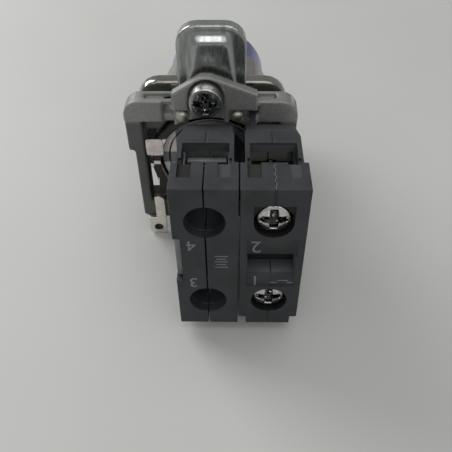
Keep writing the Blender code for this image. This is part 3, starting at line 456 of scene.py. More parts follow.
@dataclass(frozen=True)
class DieCasting(Finish):
    """Grey die-cast zinc: a grainy skin, brighter on edges with wear, and painted shade below the
    ears.
    """

    dark: Colour
    pale: Colour
    wear_and_painted_light: Colour
    # Painted shade below the ears, where the ears shade the casting, and the height and blur of
    # its border.
    ear_shade: Colour
    shade_below: float = 9.3 * MM
    shade_blur: float = 0.5 * MM
    gloss: Pair = (0.4, 0.58)
    metal_share: float = 0.4
    speck: float = 0.22 * MM
    speck_relief: Pair = (0.4, 0.04 * MM)
    flow: float = 3.5 * MM
    flow_relief: Pair = (0.3, 0.08 * MM)
    worn_ends: Pair = (0.53, 0.6)
    worn_flow: Pair = (0.35, 0.6)

    def dress(self, graph: NodeGraph) -> None:
        """Gives speckled colour, wear by how far the surface sticks out, and painted shade below
        the ears.

        Args:
            graph: the material's graph.
        """
        specks = graph.noise(self.speck, detail=4.0)
        flow = graph.noise(self.flow)
        body = graph.tint(graph.span(specks, *CLEAR), self.dark, self.pale)
        wear_and_glint = graph.times(
            graph.span(graph.surface("Pointiness"), *self.worn_ends),
            graph.span(flow, *self.worn_flow),
        )
        height = graph.parts(graph.place)["Z"]
        # Painted shade: darker below the ears.
        painted_lit = graph.span(height, self.shade_below - self.shade_blur, self.shade_below)
        graph.drive(
            Base_Color=graph.tint(wear_and_glint, graph.tint(painted_lit, self.ear_shade, body), self.wear_and_painted_light),
            Metallic=self.metal_share,
            Roughness=graph.span(flow, *BROAD, *self.gloss),
        )
        graph.relief((flow, *self.flow_relief), (specks, *self.speck_relief))


@dataclass(frozen=True)
class BareMetal(Finish):
    """Plated or plain metal with fine marks drawn along one axis."""

    colour: Colour
    tarnish: Colour
    gloss: Pair = (0.16, 0.34)
    metal_share: float = 1.0
    drawn: Point = (1.0, 1.0, 6.0)
    mark: float = 0.35 * MM
    mark_relief: Pair = (0.15, 0.02 * MM)
    cloud: float = 1.8 * MM
    cloud_ends: Pair = (0.4, 0.75)

    def dress(self, graph: NodeGraph) -> None:
        """Gives tarnish in clouds, drawn marks as roughness and relief.

        Args:
            graph: the material's graph.
        """
        marks = graph.noise(self.mark, 4.0, self.drawn)
        graph.drive(
            Base_Color=self.tone(graph),
            Metallic=self.metal_share,
            Roughness=graph.span(marks, *BROAD, *self.gloss),
        )
        graph.relief((marks, *self.mark_relief))

    def tone(self, graph: NodeGraph) -> Socket:
        """The metal's colour, tarnished in clouds."""
        clouds = graph.noise(self.cloud, detail=4.0)
        return graph.tint(graph.span(clouds, *self.cloud_ends), self.colour, self.tarnish)


@dataclass(frozen=True)
class ScrewPlate(BareMetal):
    """Plated steel of one screw, with painted shade in its driver recess and painted glints on
    its face.
    """

    axis: Pair = (0.0, 0.0)
    face_y: float = 0.0
    dome: float = 0.0
    reach: float = 2.05 * MM
    reach_blur: float = 0.05 * MM
    # Painted shade in the driver recess and painted glints on the face.
    shade_depth: Pair = (0.16 * MM, 0.4 * MM)
    glint_size: float = 0.5 * MM
    glint_ends: Pair = (0.6, 0.64)
    face: Colour = (0.6, 0.6, 0.585)
    recess_shade: Colour = (0.05, 0.05, 0.052)
    glint: Colour = (0.95, 0.95, 0.93)

    def tone(self, graph: NodeGraph) -> Socket:
        """Colours the face within the rim, with painted glints on it and painted shade in its
        recess.

        Args:
            graph: the material's graph.

        Returns:
            The colour.
        """
        within = graph.span(graph.from_axis(*self.axis), self.reach + self.reach_blur, self.reach)
        # Painted glints on the face.
        glints = graph.span(graph.noise(self.glint_size, detail=2.0), *self.glint_ends)
        face = graph.tint(within, super().tone(graph), self.face)
        # Painted shade in the recess.
        start, end = (self.face_y + self.dome / 3 + depth for depth in self.shade_depth)
        sunk = graph.times(graph.span(graph.parts(graph.place)["Y"], start, end), within)
        shaded = graph.tint(sunk, face, self.recess_shade)
        return graph.tint(graph.times(glints, within), shaded, self.glint)


@dataclass(frozen=True)
class LensPlastic(Finish):
    """Tinted clear plastic that lets light through, with a faint moulded ripple."""

    deep: Colour
    thin: Colour
    clearness: float = 0.3
    bending: float = 1.49
    coat: float = 0.25
    gloss: Pair = (0.14, 0.26)
    cloud: float = 5.0 * MM
    haze: float = 0.9 * MM
    ripple: float = 2.5 * MM
    ripple_relief: Pair = (0.08, 0.05 * MM)

    def dress(self, graph: NodeGraph) -> None:
        """Gives two tints in clouds, part of the light let through.

        Args:
            graph: the material's graph.
        """
        clouds = graph.span(graph.noise(self.cloud, detail=2.0), *CLEAR)
        graph.drive(
            Base_Color=graph.tint(clouds, self.deep, self.thin),
            Roughness=graph.span(graph.noise(self.haze, detail=4.0), *BROAD, *self.gloss),
            Transmission_Weight=self.clearness,
            IOR=self.bending,
            Coat_Weight=self.coat,
        )
        graph.relief((graph.noise(self.ripple, detail=1.0), *self.ripple_relief))


@dataclass(frozen=True)
class TableTop(Finish):
    """Pale laminate with the faintest mottle."""

    dark: Colour
    pale: Colour
    roughness: float = 0.6
    cloud: float = 60.0 * MM
    grain: float = 0.8 * MM
    grain_relief: Pair = (0.05, 0.05 * MM)

    def dress(self, graph: NodeGraph) -> None:
        """Gives two close greys in wide clouds.

        Args:
            graph: the material's graph.
        """
        clouds = graph.span(graph.noise(self.cloud, detail=2.0), *BROAD)
        graph.drive(
            Base_Color=graph.tint(clouds, self.dark, self.pale), Roughness=self.roughness
        )
        graph.relief((graph.noise(self.grain), *self.grain_relief))


BLACK_CASE = MouldedPlastic(
    "black casing",
    (0.022, 0.024, 0.026),
    (0.034, 0.037, 0.041),
    (0.055, 0.062, 0.066),
    0.1,
    shine=0.3,
)


def zoned_case(name: str, dust_share: float, *zones: Zone) -> ZonedCasing:
    """The black casing's plastic with zones of painted light and shade."""
    plain = (BLACK_CASE.dark, BLACK_CASE.pale, BLACK_CASE.dust)
    return ZonedCasing(name, *plain, dust_share, shine=BLACK_CASE.shine, zones=zones)


# Zones of painted light and shade: the inside, the inside's far end and the face under the hood
# painted paler as painted light, then a darker and a lighter patch on the top shoulders.
LIGHT_CASE = zoned_case(
    "light casing",
    0.15,
    ((-3.45, -28.25, 0.0), (3.45, -14.6, 13.65), (0.3, 0.31, 0.32)),
    ((-3.45, -14.6, 0.0), (3.45, -9.5, 9.5), (0.6, 0.62, 0.63)),
    ((-3.6, -19.3, 13.5), (3.6, -19.1, 14.9), (0.044, 0.046, 0.049)),
    ((-4.0, -27.3, 14.7), (-1.8, -23.7, 15.15), (0.009, 0.009, 0.01)),
    ((1.8, -27.3, 14.7), (4.0, -23.7, 15.15), (0.055, 0.06, 0.066)),
)
CONTACT_CASE = zoned_case(
    "contact casing",
    BLACK_CASE.dust_share,
    # Painted light: the inside, its far end and the face under the hood are painted paler.
    ((6.65, -28.25, 3.9), (13.35, -14.6, 13.65), (0.2, 0.205, 0.18)),
    ((6.65, -14.6, 0.0), (13.35, -9.5, 9.5), (0.6, 0.6, 0.54)),
    ((6.4, -19.3, 13.5), (13.6, -19.1, 14.9), (0.068, 0.07, 0.074)),
    # Painted shade in a square round each screw.
    ((6.95, -29.72, 5.85), (13.05, -28.25, 12.25), (0.006, 0.006, 0.006)),
    # A lighter and a darker patch on the top shoulders.
    ((11.8, -27.3, 14.7), (14.0, -23.7, 15.15), (0.06, 0.063, 0.068)),
    ((6.0, -27.3, 14.7), (8.2, -23.7, 15.15), (0.018, 0.019, 0.019)),
    # The pocket: its floor painted paler as painted light, its deep face darker as painted shade.
    ((6.2, -29.4, 0.0), (13.8, -26.7, 2.15), (0.06, 0.063, 0.066)),
    ((6.2, -26.7, 0.0), (13.8, -26.4, 2.15), (0.012, 0.012, 0.013)),
)
SEAM_FLASH = MouldedPlastic(
    "seam flash", (0.05, 0.052, 0.053), (0.11, 0.112, 0.112), (0.14, 0.14, 0.14), 0.2
)
WHITE_PLASTIC = MouldedPlastic(
    "white plastic", (0.72, 0.72, 0.69), (0.82, 0.82, 0.80), (0.6, 0.6, 0.57), 0.15
)
BOARD_LACQUER = MouldedPlastic(
    "board lacquer", (0.5, 0.53, 0.51), (0.6, 0.62, 0.6), (0.5, 0.5, 0.48), 0.1
)
# The pale pinkish zone on the ring in the left bay is a painted reflection.
RING_GREY = ZonedCasing(
    "ring grey",
    (0.15, 0.15, 0.16),
    (0.22, 0.22, 0.23),
    (0.2, 0.2, 0.2),
    0.15,
    zones=(((-14.0, -6.0, 1.2), (-6.6, 0.0, 6.6), (0.78, 0.71, 0.68)),),
)
GASKET_RUBBER = MouldedPlastic(
    "gasket rubber",
    (0.016, 0.016, 0.017),
    (0.028, 0.028, 0.03),
    (0.06, 0.06, 0.06),
    0.2,
    gloss=(0.7, 0.85),
)
RELEASE_GREY = MouldedPlastic(
    "release grey", (0.15, 0.155, 0.16), (0.2, 0.205, 0.21), (0.25, 0.25, 0.25), 0.1
)
LEGEND_INK = MouldedPlastic(
    "legend ink", (0.11, 0.125, 0.13), (0.18, 0.195, 0.2), (0.2, 0.2, 0.2), 0.1
)
HEAD_PLATE = BarrelPlate("head plate", (0.34, 0.325, 0.3), (0.27, 0.255, 0.235))
LEVER_PLATE = PolishedPlate(
    "lever plate", (0.42, 0.43, 0.425), (0.29, 0.3, 0.295), (0.16, 0.36), 0.1, (2.6, 1.0, 0.35)
)
COLLAR_CASTING = DieCasting(
    "collar casting",
    (0.19, 0.195, 0.188),
    (0.265, 0.27, 0.258),
    (0.5, 0.5, 0.48),
    # Painted shade below the ears.
    (0.095, 0.098, 0.095),
)
PLATED_STEEL = BareMetal("plated steel", (0.66, 0.66, 0.64), (0.24, 0.24, 0.235))
RIVET_TIN = BareMetal("rivet tin", (0.5, 0.49, 0.42), (0.3, 0.29, 0.25), (0.38, 0.55))
SPRING_STEEL = BareMetal("spring steel", (0.5, 0.5, 0.5), (0.33, 0.33, 0.33), (0.25, 0.4))
TINNED_STRIP = BareMetal("tinned strip", (0.8, 0.81, 0.81), (0.6, 0.6, 0.6), (0.35, 0.5), 0.4)
DULL_BRASS = BareMetal("dull brass", (0.38, 0.27, 0.12), (0.2, 0.13, 0.06), (0.3, 0.5))
EARTH_PLATE = BareMetal("earth tab plate", (0.84, 0.81, 0.74), (0.66, 0.62, 0.55), (0.3, 0.45))
# The bay shim's bright plate stands for a reflection: painted reflection.
SHIM_PLATE = BareMetal("shim plate", (0.8, 0.74, 0.71), (0.55, 0.48, 0.45), (0.3, 0.5))
BLUE_LENS = LensPlastic("blue lens", (0.045, 0.05, 0.25), (0.075, 0.08, 0.36))
LAMP_CLEAR = LensPlastic("lamp body", (0.75, 0.8, 0.9), (0.9, 0.93, 0.97), 0.7)
TABLE = TableTop("pale table", (0.52, 0.52, 0.50), (0.55, 0.55, 0.53))


def smooth_step(value: np.ndarray) -> np.ndarray:
    """The S-curve 3t^2 - 2t^3 of a value held between 0 and 1."""
    held = np.clip(value, 0.0, 1.0)
    return held * held * (3.0 - 2.0 * held)


def full_turn(around: int) -> np.ndarray:
    """The angles of evenly spread points on a full circle."""
    return np.linspace(0.0, 2.0 * np.pi, around, endpoint=False)


def mesh_piece(name: str, mesh: bpy.types.Mesh, crease: float = CREASE) -> Piece:
    """Puts a mesh into the scene as a new object with smooth faces.

    Args:
        name: the piece's name.
        mesh: its mesh, in the frame's coordinates.
        crease: the angle in degrees past which an edge stays sharp.

    Returns:
        The new object, at the origin.
    """
    mesh.shade_smooth()
    mesh.set_sharp_from_angle(angle=math.radians(crease))
    made = bpy.data.objects.new(name, mesh)
    bpy.context.scene.collection.objects.link(made)
    return made


def shape_mesh(name: str, shape: Shape) -> bpy.types.Mesh:
    """Turns an edited shape, which is used up, into a mesh.

    Args:
        name: the mesh's name.
        shape: the shape.

    Returns:
        The mesh.
    """
    mesh = bpy.data.meshes.new(name)
    shape.to_mesh(mesh)
    shape.free()
    return mesh


def mesh_shape(mesh: bpy.types.Mesh) -> Shape:
    """Copies a mesh so that it can be edited.

    Args:
        mesh: the mesh, which stays as it is.

    Returns:
        The copy.
    """
    shape = bmesh.new()
    shape.from_mesh(mesh)
    return shape


def grid_surface(name: str, points: np.ndarray, crease: float = CREASE) -> Piece:
    """A closed surface from a grid of points whose rows are rings.

    Args:
        name: the piece's name.
        points: array of rings, points in a ring, and the three coordinates.
        crease: the angle in degrees past which an edge stays sharp.

    Returns:
        The piece, with rings that shrink to a point merged and its faces turned outwards.
    """
    rings, around, _ = points.shape
    index = np.arange(rings * around).reshape(rings, around)
    beside = np.roll(index, -1, axis=1)
    quads = np.stack([index[:-1], beside[:-1], beside[1:], index[1:]], axis=-1).reshape(-1, 4)
    mesh = bpy.data.meshes.new(name)
    mesh.from_pydata(points.reshape(-1, 3).tolist(), [], quads.tolist())
    shape = mesh_shape(mesh)
    bmesh.ops.remove_doubles(shape, verts=shape.verts, dist=MERGE_DISTANCE)
    bmesh.ops.recalc_face_normals(shape, faces=shape.faces)
    shape.to_mesh(mesh)
    shape.free()
    return mesh_piece(name, mesh, crease)


def capped_surface(name: str, rings: np.ndarray, crease: float = CREASE) -> Piece:
    """A tube from a grid of rings, whose first and last ring are closed at their own middles.

    Args:
        name: the piece's name.
        rings: array of rings, points in a ring, and the three coordinates.
        crease: the angle in degrees past which an edge stays sharp.

    Returns:
        The tube as one closed piece.
    """
    first, last = (
        np.repeat(ring.mean(axis=0)[None, None], rings.shape[1], axis=1)
        for ring in (rings[0], rings[-1])
    )
    return grid_surface(name, np.concatenate([first, rings, last]), crease)


def turned_surface(name: str, profile: np.ndarray, around: int = 128) -> Piece:
    """A surface of revolution about the Y axis.

    Args:
        name: the piece's name.
        profile: rows of (radius, y), from one point of the section to the last.
        around: how many points a ring has.

    Returns:
        The piece: each profile point carried round a full circle.
    """
    turn = full_turn(around)
    radius, y = profile[:, :1], profile[:, 1:]
    points = [radius * np.cos(turn), y + 0.0 * turn, radius * np.sin(turn)]
    return grid_surface(name, np.stack(points, axis=-1))


@dataclass(frozen=True)
class ChordRounder:
    """Makes facets that stand for a circle about a line along Y truly round.

    An edge whose two ends are as far from the line, and whose middle is nearer, is a chord. Each
    chord is cut up, and its new points are moved out from the line to the radius of its ends.
    """

    axis: Pair
    beyond: float = 0.0
    cuts: int = 3
    level: float = 2.0 * MERGE_DISTANCE
    dip: float = 4.0 * MERGE_DISTANCE
    flattest: float = 0.97
    nearest: float = 0.9

    def spokes(self, points: np.ndarray) -> np.ndarray:
        """The way from the line to each point, square to the line."""
        return (points - (self.axis[0], 0.0, self.axis[1])) * (1.0, 0.0, 1.0)

    def measured(self, mesh: bpy.types.Mesh) -> tuple[np.ndarray, np.ndarray]:
        """Reads a mesh's points.

        Args:
            mesh: the mesh.

        Returns:
            The points, and how far each is from the line.
        """
        points = np.empty(3 * len(mesh.vertices))
        mesh.vertices.foreach_get("co", points)
        points = points.reshape(-1, 3)
        return points, np.linalg.norm(self.spokes(points), axis=1)

    def chords(self, mesh: bpy.types.Mesh, points: np.ndarray, radius: np.ndarray) -> np.ndarray:
        """Finds the chords that lie past the radius from which facets become round.

        Args:
            mesh: the faceted mesh.
            points: its points.
            radius: how far each is from the line.

        Returns:
            The chords' numbers among the mesh's edges.
        """
        ends = np.empty(2 * len(mesh.edges), dtype=np.int64)
        mesh.edges.foreach_get("vertices", ends)
        ends = ends.reshape(-1, 2)
        middle = np.linalg.norm(self.spokes(points[ends].mean(axis=1)), axis=1)
        reach = radius[ends].mean(axis=1)
        even = np.abs(np.diff(radius[ends], axis=1)[:, 0]) < self.level
        near = middle > np.maximum(self.flattest * reach, self.beyond)
        return np.flatnonzero(even & near & (middle < reach - self.dip))

    def apply(self, shape: Shape) -> Shape:
        """Rounds a shape.

        Args:
            shape: the faceted shape, which is used up.

        Returns:
            The rounder shape.
        """
        mesh = shape_mesh("rounding", shape)
        points, radius = self.measured(mesh)
        reach = mesh.attributes.new("reach", "FLOAT", "POINT")
        reach.data.foreach_set("value", radius.astype(np.float32))
        cut = mesh_shape(mesh)
        cut.edges.ensure_lookup_table()
        edges = [cut.edges[number] for number in self.chords(mesh, points, radius)]
        bmesh.ops.subdivide_edges(cut, edges=edges, cuts=self.cuts)
        cut.to_mesh(mesh)
        cut.free()
        points, radius = self.measured(mesh)
        wanted = np.empty(len(radius), dtype=np.float32)
        mesh.attributes["reach"].data.foreach_get("value", wanted)
        mesh.attributes.remove(mesh.attributes["reach"])
        short = (wanted - radius > self.level) & (radius > self.nearest * wanted)
        grow = np.where(short, wanted / np.maximum(radius, MERGE_DISTANCE), 1.0)[:, None]
        moved = points + (grow - 1.0) * self.spokes(points)
        mesh.vertices.foreach_set("co", moved.ravel())
        rounded = mesh_shape(mesh)
        bpy.data.meshes.remove(mesh)
        return rounded


def is_sharp(edge: bmesh.types.BMEdge) -> bool:
    """Whether an eased piece's edge counts as sharp."""
    return edge.calc_face_angle(0.0) > math.radians(EASED_CREASE)


@dataclass(frozen=True)
class SlopeChamfer:
    """A chamfer along the sloping edges of one side of a casing."""

    side_x: float
    start_y: float
    width: float
    tolerance: float = 0.02 * MM
    least_run: float = 0.5 * MM

    def cut(self, shape: Shape) -> None:
        """Chamfers the side's sharp edges that run forwards from its start.

        Args:
            shape: the casing, which is changed.
        """
        sloping = [
            edge for edge in shape.edges
            if all(abs(end.co.x - self.side_x) < self.tolerance for end in edge.verts)
            and all(end.co.y > self.start_y for end in edge.verts)
            and abs(edge.verts[0].co.y - edge.verts[1].co.y) > self.least_run
            and is_sharp(edge)
        ]
        bmesh.ops.bevel(
            shape, geom=sloping, offset=self.width, segments=1, affect="EDGES", clamp_overlap=True
        )


@dataclass
class Dresser:
    """Puts finished pieces in the place of CAD nodes, on the nodes' own bodies."""

    nodes: dict[str, Piece]
    bodies: dict[str, str]
    slots: dict[str, str]
    made: dict[str, Material]
    tight_share: float = 2.2

    @classmethod
    def from_frame(cls, frame: dict) -> Dresser:
        """Reads which body and material slot each node has.


        Returns:
            The dresser of that frame.
        """
        record = frame["record"]
        members = record["behaviour"]["bodies"].items()
        bodies = {node: body for body, nodes in members for node in nodes}
        slots = {part["node"]: part["material_slot"] for part in record["subparts"]}
        return cls(frame["nodes"], bodies, slots, {})

    def paint(self, piece: Piece, finish: Finish) -> None:
        """Gives a piece its finish, made once for all the pieces that share it.

        Args:
            piece: the piece.
            finish: its finish.
        """
        if finish.name not in self.made:
            self.made[finish.name] = finish.build()
        piece.data.materials.clear()
        piece.data.materials.append(self.made[finish.name])

    def adopt(self, piece: Piece, node: str, finish: Finish) -> None:
        """Lets a new piece stand for a CAD node and ride on the node's body.

        Args:
            piece: the new piece, in place.
            node: the CAD node's name.
            finish: the piece's finish.
        """
        self.paint(piece, finish)
        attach(piece, self.bodies[node])
        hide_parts(node)
        LOG.info("%s stands for %s on %s", piece.name, node, self.bodies[node])

    def trim(self, piece: Piece, node: str, finish: Finish) -> None:
        """Fixes a printed or trim piece to a CAD node's body.

        Args:
            piece: the new piece, in place.
            node: the name of the CAD node that carries it.
            finish: the piece's finish.
        """
        self.paint(piece, finish)
        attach(piece, self.bodies[node])
        LOG.info("%s fixed to %s", piece.name, node)

    def merged(self, node: str) -> Shape:
        """A copy of a CAD node with its loose triangles joined and flat faces made whole.

        Args:
            node: the CAD node's name.

        Returns:
            The copy.
        """
        copy = mesh_shape(self.nodes[node].data)
        bmesh.ops.remove_doubles(copy, verts=copy.verts, dist=MERGE_DISTANCE)
        bmesh.ops.dissolve_limit(copy, angle_limit=FLAT_ANGLE, verts=copy.verts, edges=copy.edges)
        return copy

    def box_edges(self, shape: Shape, node: str) -> list[bmesh.types.BMEdge]:
        """Finds the edges of a shape that lie on two sides of its CAD node's box.

        Args:
            shape: the node's copy.
            node: the CAD node's name.

        Returns:
            The edges.
        """
        sides = [(axis, bound[axis]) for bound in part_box(node) for axis in range(3)]

        def on_side(edge: bmesh.types.BMEdge, axis: int, at: float) -> bool:
            """Whether both ends of an edge lie on a side."""
            return all(abs(end.co[axis] - at) < MERGE_DISTANCE for end in edge.verts)

        return [edge for edge in shape.edges if sum(on_side(edge, *side) for side in sides) > 1]

    def eased(
        self,
        node: str,
        finish: Finish,
        width: float = 0.0,
        rounders: tuple[ChordRounder, ...] = (),
        chamfer: SlopeChamfer | None = None,
        boxed: bool = False,
    ) -> None:
        """Stands a copy with eased edges for a CAD node.

        An edge that ends on one shorter than about twice the easing's width stays sharp.

        Args:
            node: the CAD node's name.
            finish: the piece's finish.
            width: how far the easing reaches from an edge, or 0 for none.
            rounders: what makes its facets truly round.
            chamfer: the chamfer of its sloping edges.
            boxed: whether only the edges of the node's box are eased.
        """
        copy = self.merged(node)
        if chamfer is not None:
            chamfer.cut(copy)
        for rounder in rounders:
            copy = rounder.apply(copy)
        if width > 0.0:
            least = self.tight_share * width
            short = (edge for edge in copy.edges if edge.calc_length() < least)
            tight = {end for edge in short for end in edge.verts}
            sharp = [
                edge for edge in (self.box_edges(copy, node) if boxed else copy.edges)
                if edge.is_manifold and tight.isdisjoint(edge.verts) and is_sharp(edge)
            ]
            bmesh.ops.bevel(
                copy,
                geom=sharp,
                offset=width,
                segments=2,
                profile=0.5,
                affect="EDGES",
                clamp_overlap=True,
            )
        name = f"{node}_eased"
        made = mesh_piece(name, shape_mesh(name, copy), EASED_CREASE)
        made.modifiers.new("flat faces", "WEIGHTED_NORMAL").keep_sharp = True
        self.adopt(made, node, finish)

    def cast(self, node: str, finish: Finish, voxel: float, passes: int) -> None:
        """Stands a copy with the soft edges of a casting for a CAD node.

        Args:
            node: the CAD node's name.
            finish: the piece's finish.
            voxel: the grid size its skin is laid on.
            passes: how many times the skin is averaged with its neighbours.
        """
        name = f"{node}_source"
        source = mesh_piece(name, shape_mesh(name, self.merged(node)))
        skin = source.modifiers.new("skin", "REMESH")
        skin.mode = "VOXEL"
        skin.voxel_size = voxel
        soften = source.modifiers.new("soften", "SMOOTH")
        soften.factor = 0.5
        soften.iterations = passes
        graph = bpy.context.evaluated_depsgraph_get()
        skinned = bpy.data.meshes.new_from_object(source.evaluated_get(graph))
        skinned.name = f"{node}_cast"
        bpy.data.objects.remove(source, do_unlink=True)
        self.adopt(mesh_piece(f"{node}_cast", skinned, ALL_SMOOTH), node, finish)


@dataclass
class CoilSpring:
    """A wound spring along Y, in the box of its CAD node."""

    node: str
    joint: str
    axis: Pair
    wire: float
    turns: float
    kept: float
    sides: int = 16
    steps_per_turn: int = 40
    even_rise: float = 0.75
    crease: float = 60.0

    def wound(self, low: Vector, high: Vector) -> Piece:
        """A round wire carried along a helix whose end turns lie flatter than its middle.

        Args:
            low: the lowest corner of the spring's box.
            high: its highest corner.

        Returns:
            The spring as one closed tube.
        """
        radius = (high.x - low.x) / 2 - self.wire / 2
        share = np.linspace(0.0, 1.0, int(self.turns * self.steps_per_turn))
        turn = 2.0 * np.pi * self.turns * share
        rise = self.even_rise * share + (1.0 - self.even_rise) * smooth_step(share)
        outward = np.stack([np.cos(turn), 0.0 * turn, np.sin(turn)], axis=-1)
        path = radius * outward + (self.axis[0], low.y + self.wire / 2, self.axis[1])
        path[:, 1] += (high.y - low.y - self.wire) * rise
        along = np.gradient(path, axis=0)
        along /= np.linalg.norm(along, axis=1, keepdims=True)
        across = np.cross(along, outward)
        spin = full_turn(self.sides)[None, :, None]
        ring = np.cos(spin) * outward[:, None, :] + np.sin(spin) * across[:, None, :]
        tube = path[:, None, :] + self.wire / 2 * ring
        return capped_surface(f"{self.node}_wound", tube, self.crease)

    def build(self, dresser: Dresser) -> None:
        """Makes the spring, which rides on its node's body.

        Args:
            dresser: what puts it in the node's place.
        """
        low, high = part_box(self.node)
        made = self.wound(low, high)
        dresser.adopt(made, self.node, SPRING_STEEL)
        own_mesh(made)


@dataclass
class Screw:
    """A screw along Y with a driver recess and a rolled thread, in the box of its CAD node."""

    node: str
    recess: Recess
    shank: float = 3.0 * MM
    head_height: float = 2.0 * MM
    fullness: float = 1.0
    rim: float = 0.22 * MM
    rim_steps: int = 8
    dome: float = 0.18 * MM
    arm: float = 1.15 * MM
    arm_narrowing: float = 0.25
    arm_taper: float = 0.55
    wall: float = 0.14 * MM
    end_walls: float = 3.0
    recess_depth: float = 1.5 * MM
    recess_reach: float = 1.95 * MM
    slot_depth: float = 0.6 * MM
    slot_half: float = 0.4 * MM
    plain_rim: float = 0.12 * MM
    pitch: float = 0.5 * MM
    thread_depth: float = 0.26 * MM
    thread_margin: float = 0.3 * MM
    thread_fade: float = 0.5 * MM
    thread_rings: int = 160
    tip_radius: float = 0.6 * MM
    face_rings: int = 56
    around: int = 144
    crease: float = 40.0

    def sunk(self, across: np.ndarray, along: np.ndarray, head_radius: float) -> np.ndarray:
        """How deep the recess is at each point of the face.

        Each arm is deepest on its middle line and tapers to its end; the slot has one depth.

        Args:
            across: X from the screw's axis.
            along: Z from the screw's axis.
            head_radius: the head's radius.

        Returns:
            The depth at each point.
        """
        arms = []
        for first, second in ((across, along), (along, across)):
            out = np.abs(first) / self.recess_reach
            narrowing = self.arm / 2 * (1.0 - self.arm_narrowing * out)
            side = smooth_step((narrowing - np.abs(second)) / self.wall + 0.5)
            end = smooth_step((self.recess_reach - np.abs(first)) / (self.end_walls * self.wall))
            arms.append(self.recess_depth * side * end * (1.0 - self.arm_taper * out))
        if self.recess is Recess.CROSS_AND_SLOT:
            in_slot = smooth_step((self.slot_half - np.abs(along)) / self.wall + 0.5)
            arms.append(self.slot_depth * in_slot)
        within = np.hypot(across, along) < head_radius - self.plain_rim
        return np.maximum.reduce(arms) * within

    def build(self) -> Piece:
        """Makes the screw from rings that run from the face's middle to the thread's tip.

        The face is domed and its rim a quarter circle. The thread is a triangle wave of depth
        that climbs one pitch a turn and fades at both ends.

        Returns:
            The screw.
        """
        low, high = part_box(self.node)
        middle = (low + high) / 2
        head_radius = self.fullness * (high.x - low.x) / 2
        shank_radius = self.shank / 2
        face = np.linspace(0.0, 1.0, self.face_rings) * (head_radius - self.rim)
        face_y = low.y + self.dome * (face / face[-1]) ** 2
        bend = np.linspace(0.0, np.pi / 2, self.rim_steps)[1:]
        rim = head_radius - self.rim + self.rim * np.sin(bend)
        rim_y = low.y + self.dome + self.rim * (1.0 - np.cos(bend))
        under = low.y + self.head_height
        margin = self.thread_margin
        threads = np.linspace(under + margin, high.y - margin, self.thread_rings)
        neck = [head_radius, shank_radius, shank_radius]
        neck_y = [under, under, threads[0]]
        thread = np.full_like(threads, shank_radius)
        radius = np.concatenate([face, rim, neck, thread, [self.tip_radius, 0.0]])
        y = np.concatenate([face_y, rim_y, neck_y, threads, [high.y, high.y]])
        fade = np.zeros_like(radius)
        head_rings = len(face) + len(rim)
        first_thread = head_rings + len(neck)
        fade[first_thread:first_thread + len(threads)] = smooth_step(
            np.minimum(threads - threads[0], threads[-1] - threads) / self.thread_fade
        )
        turn = full_turn(self.around)
        phase = (y[:, None] / self.pitch - turn[None, :] / (2.0 * np.pi)) % 1.0
        cut = self.thread_depth * fade[:, None] * 2.0 * np.abs(phase - 0.5)
        ring_radius = radius[:, None] - cut
        across, along = ring_radius * np.cos(turn), ring_radius * np.sin(turn)
        on_head = (np.arange(len(radius)) < head_rings)[:, None]
        depth = np.where(on_head, self.sunk(across, along, head_radius), 0.0)
        points = [middle.x + across, y[:, None] + depth, middle.z + along]
        return grid_surface(f"{self.node}_threaded", np.stack(points, axis=-1), self.crease)

    def finish(self, face: Colour = ScrewPlate.face) -> ScrewPlate:
        """The plate of this screw, which knows where its recess lies.

        Args:
            face: the colour of the face within its rim.

        Returns:
            The finish, named for the screw.
        """
        low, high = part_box(self.node)
        middle = (low + high) / 2
        return ScrewPlate(
            f"{self.node} plate",
            PLATED_STEEL.colour,
            PLATED_STEEL.tarnish,
            axis=(middle.x, middle.z),
            face_y=low.y,
            dome=self.dome,
            face=face,
        )


@dataclass
class Head:
    """The head: bezel, gasket, lens, carrier, pusher and the return spring."""

    dresser: Dresser
    guard_inside: float = 11.0 * MM
    bezel_edge: float = 0.15 * MM
    gasket_edge: float = 0.2 * MM
    lens_wall: float = 1.5 * MM
    lens_dome: float = 2.5 * MM
    lens_shoulder: Pair = (0.9, 0.8)
    dome_steps: int = 40
    skirt_steps: int = 24

    def lens(self) -> Piece:
        """Makes the lens cap: its outer dome, a rounded shoulder, its skirt and the same inside.

        Returns:
            The lens cap.
        """
        low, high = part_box("lens_cap")
        outer = (high.x - low.x) / 2
        bore = outer - self.lens_wall
        wide, deep = self.lens_shoulder
        turn = np.linspace(0.0, np.pi / 2, self.dome_steps)
        drop = self.lens_dome * (1.0 - np.cos(turn) ** deep)
        dome = np.column_stack([outer * np.sin(turn) ** wide, high.y - drop])
        skirt_y = np.linspace(high.y - self.lens_dome, low.y, self.skirt_steps)[1:]
        skirt = np.column_stack([np.full_like(skirt_y, outer), skirt_y])
        inner = np.column_stack([np.full_like(skirt_y, bore), skirt_y[::-1]])
        back = turn[::-1]
        rise = (self.lens_dome - self.lens_wall) * (1.0 - np.cos(back))
        roof = np.column_stack([bore * np.sin(back), high.y - self.lens_wall - rise])
        return turned_surface("lens_cap_moulded", np.concatenate([dome, skirt, inner, roof]))

    def build(self) -> None:
        """Makes and dresses the head's pieces."""
        about = (0.0, 0.0)
        outside = (ChordRounder(about, self.guard_inside),)
        whole = (ChordRounder(about),)
        self.dresser.eased("operator_bezel", HEAD_PLATE, self.bezel_edge, outside)
        self.dresser.eased("panel_gasket", GASKET_RUBBER, self.gasket_edge, whole)
        self.dresser.adopt(self.lens(), "lens_cap", BLUE_LENS)
        self.dresser.eased("lens_diffuser", WHITE_PLASTIC, rounders=whole)
        self.dresser.eased("lens_carrier", RING_GREY, rounders=whole)
        self.dresser.eased("pusher_ring", RING_GREY, rounders=whole)
        spring = CoilSpring(
            "return_spring", "button_press", about, wire=0.7 * MM, turns=5.5, kept=0.57
        )
        spring.build(self.dresser)


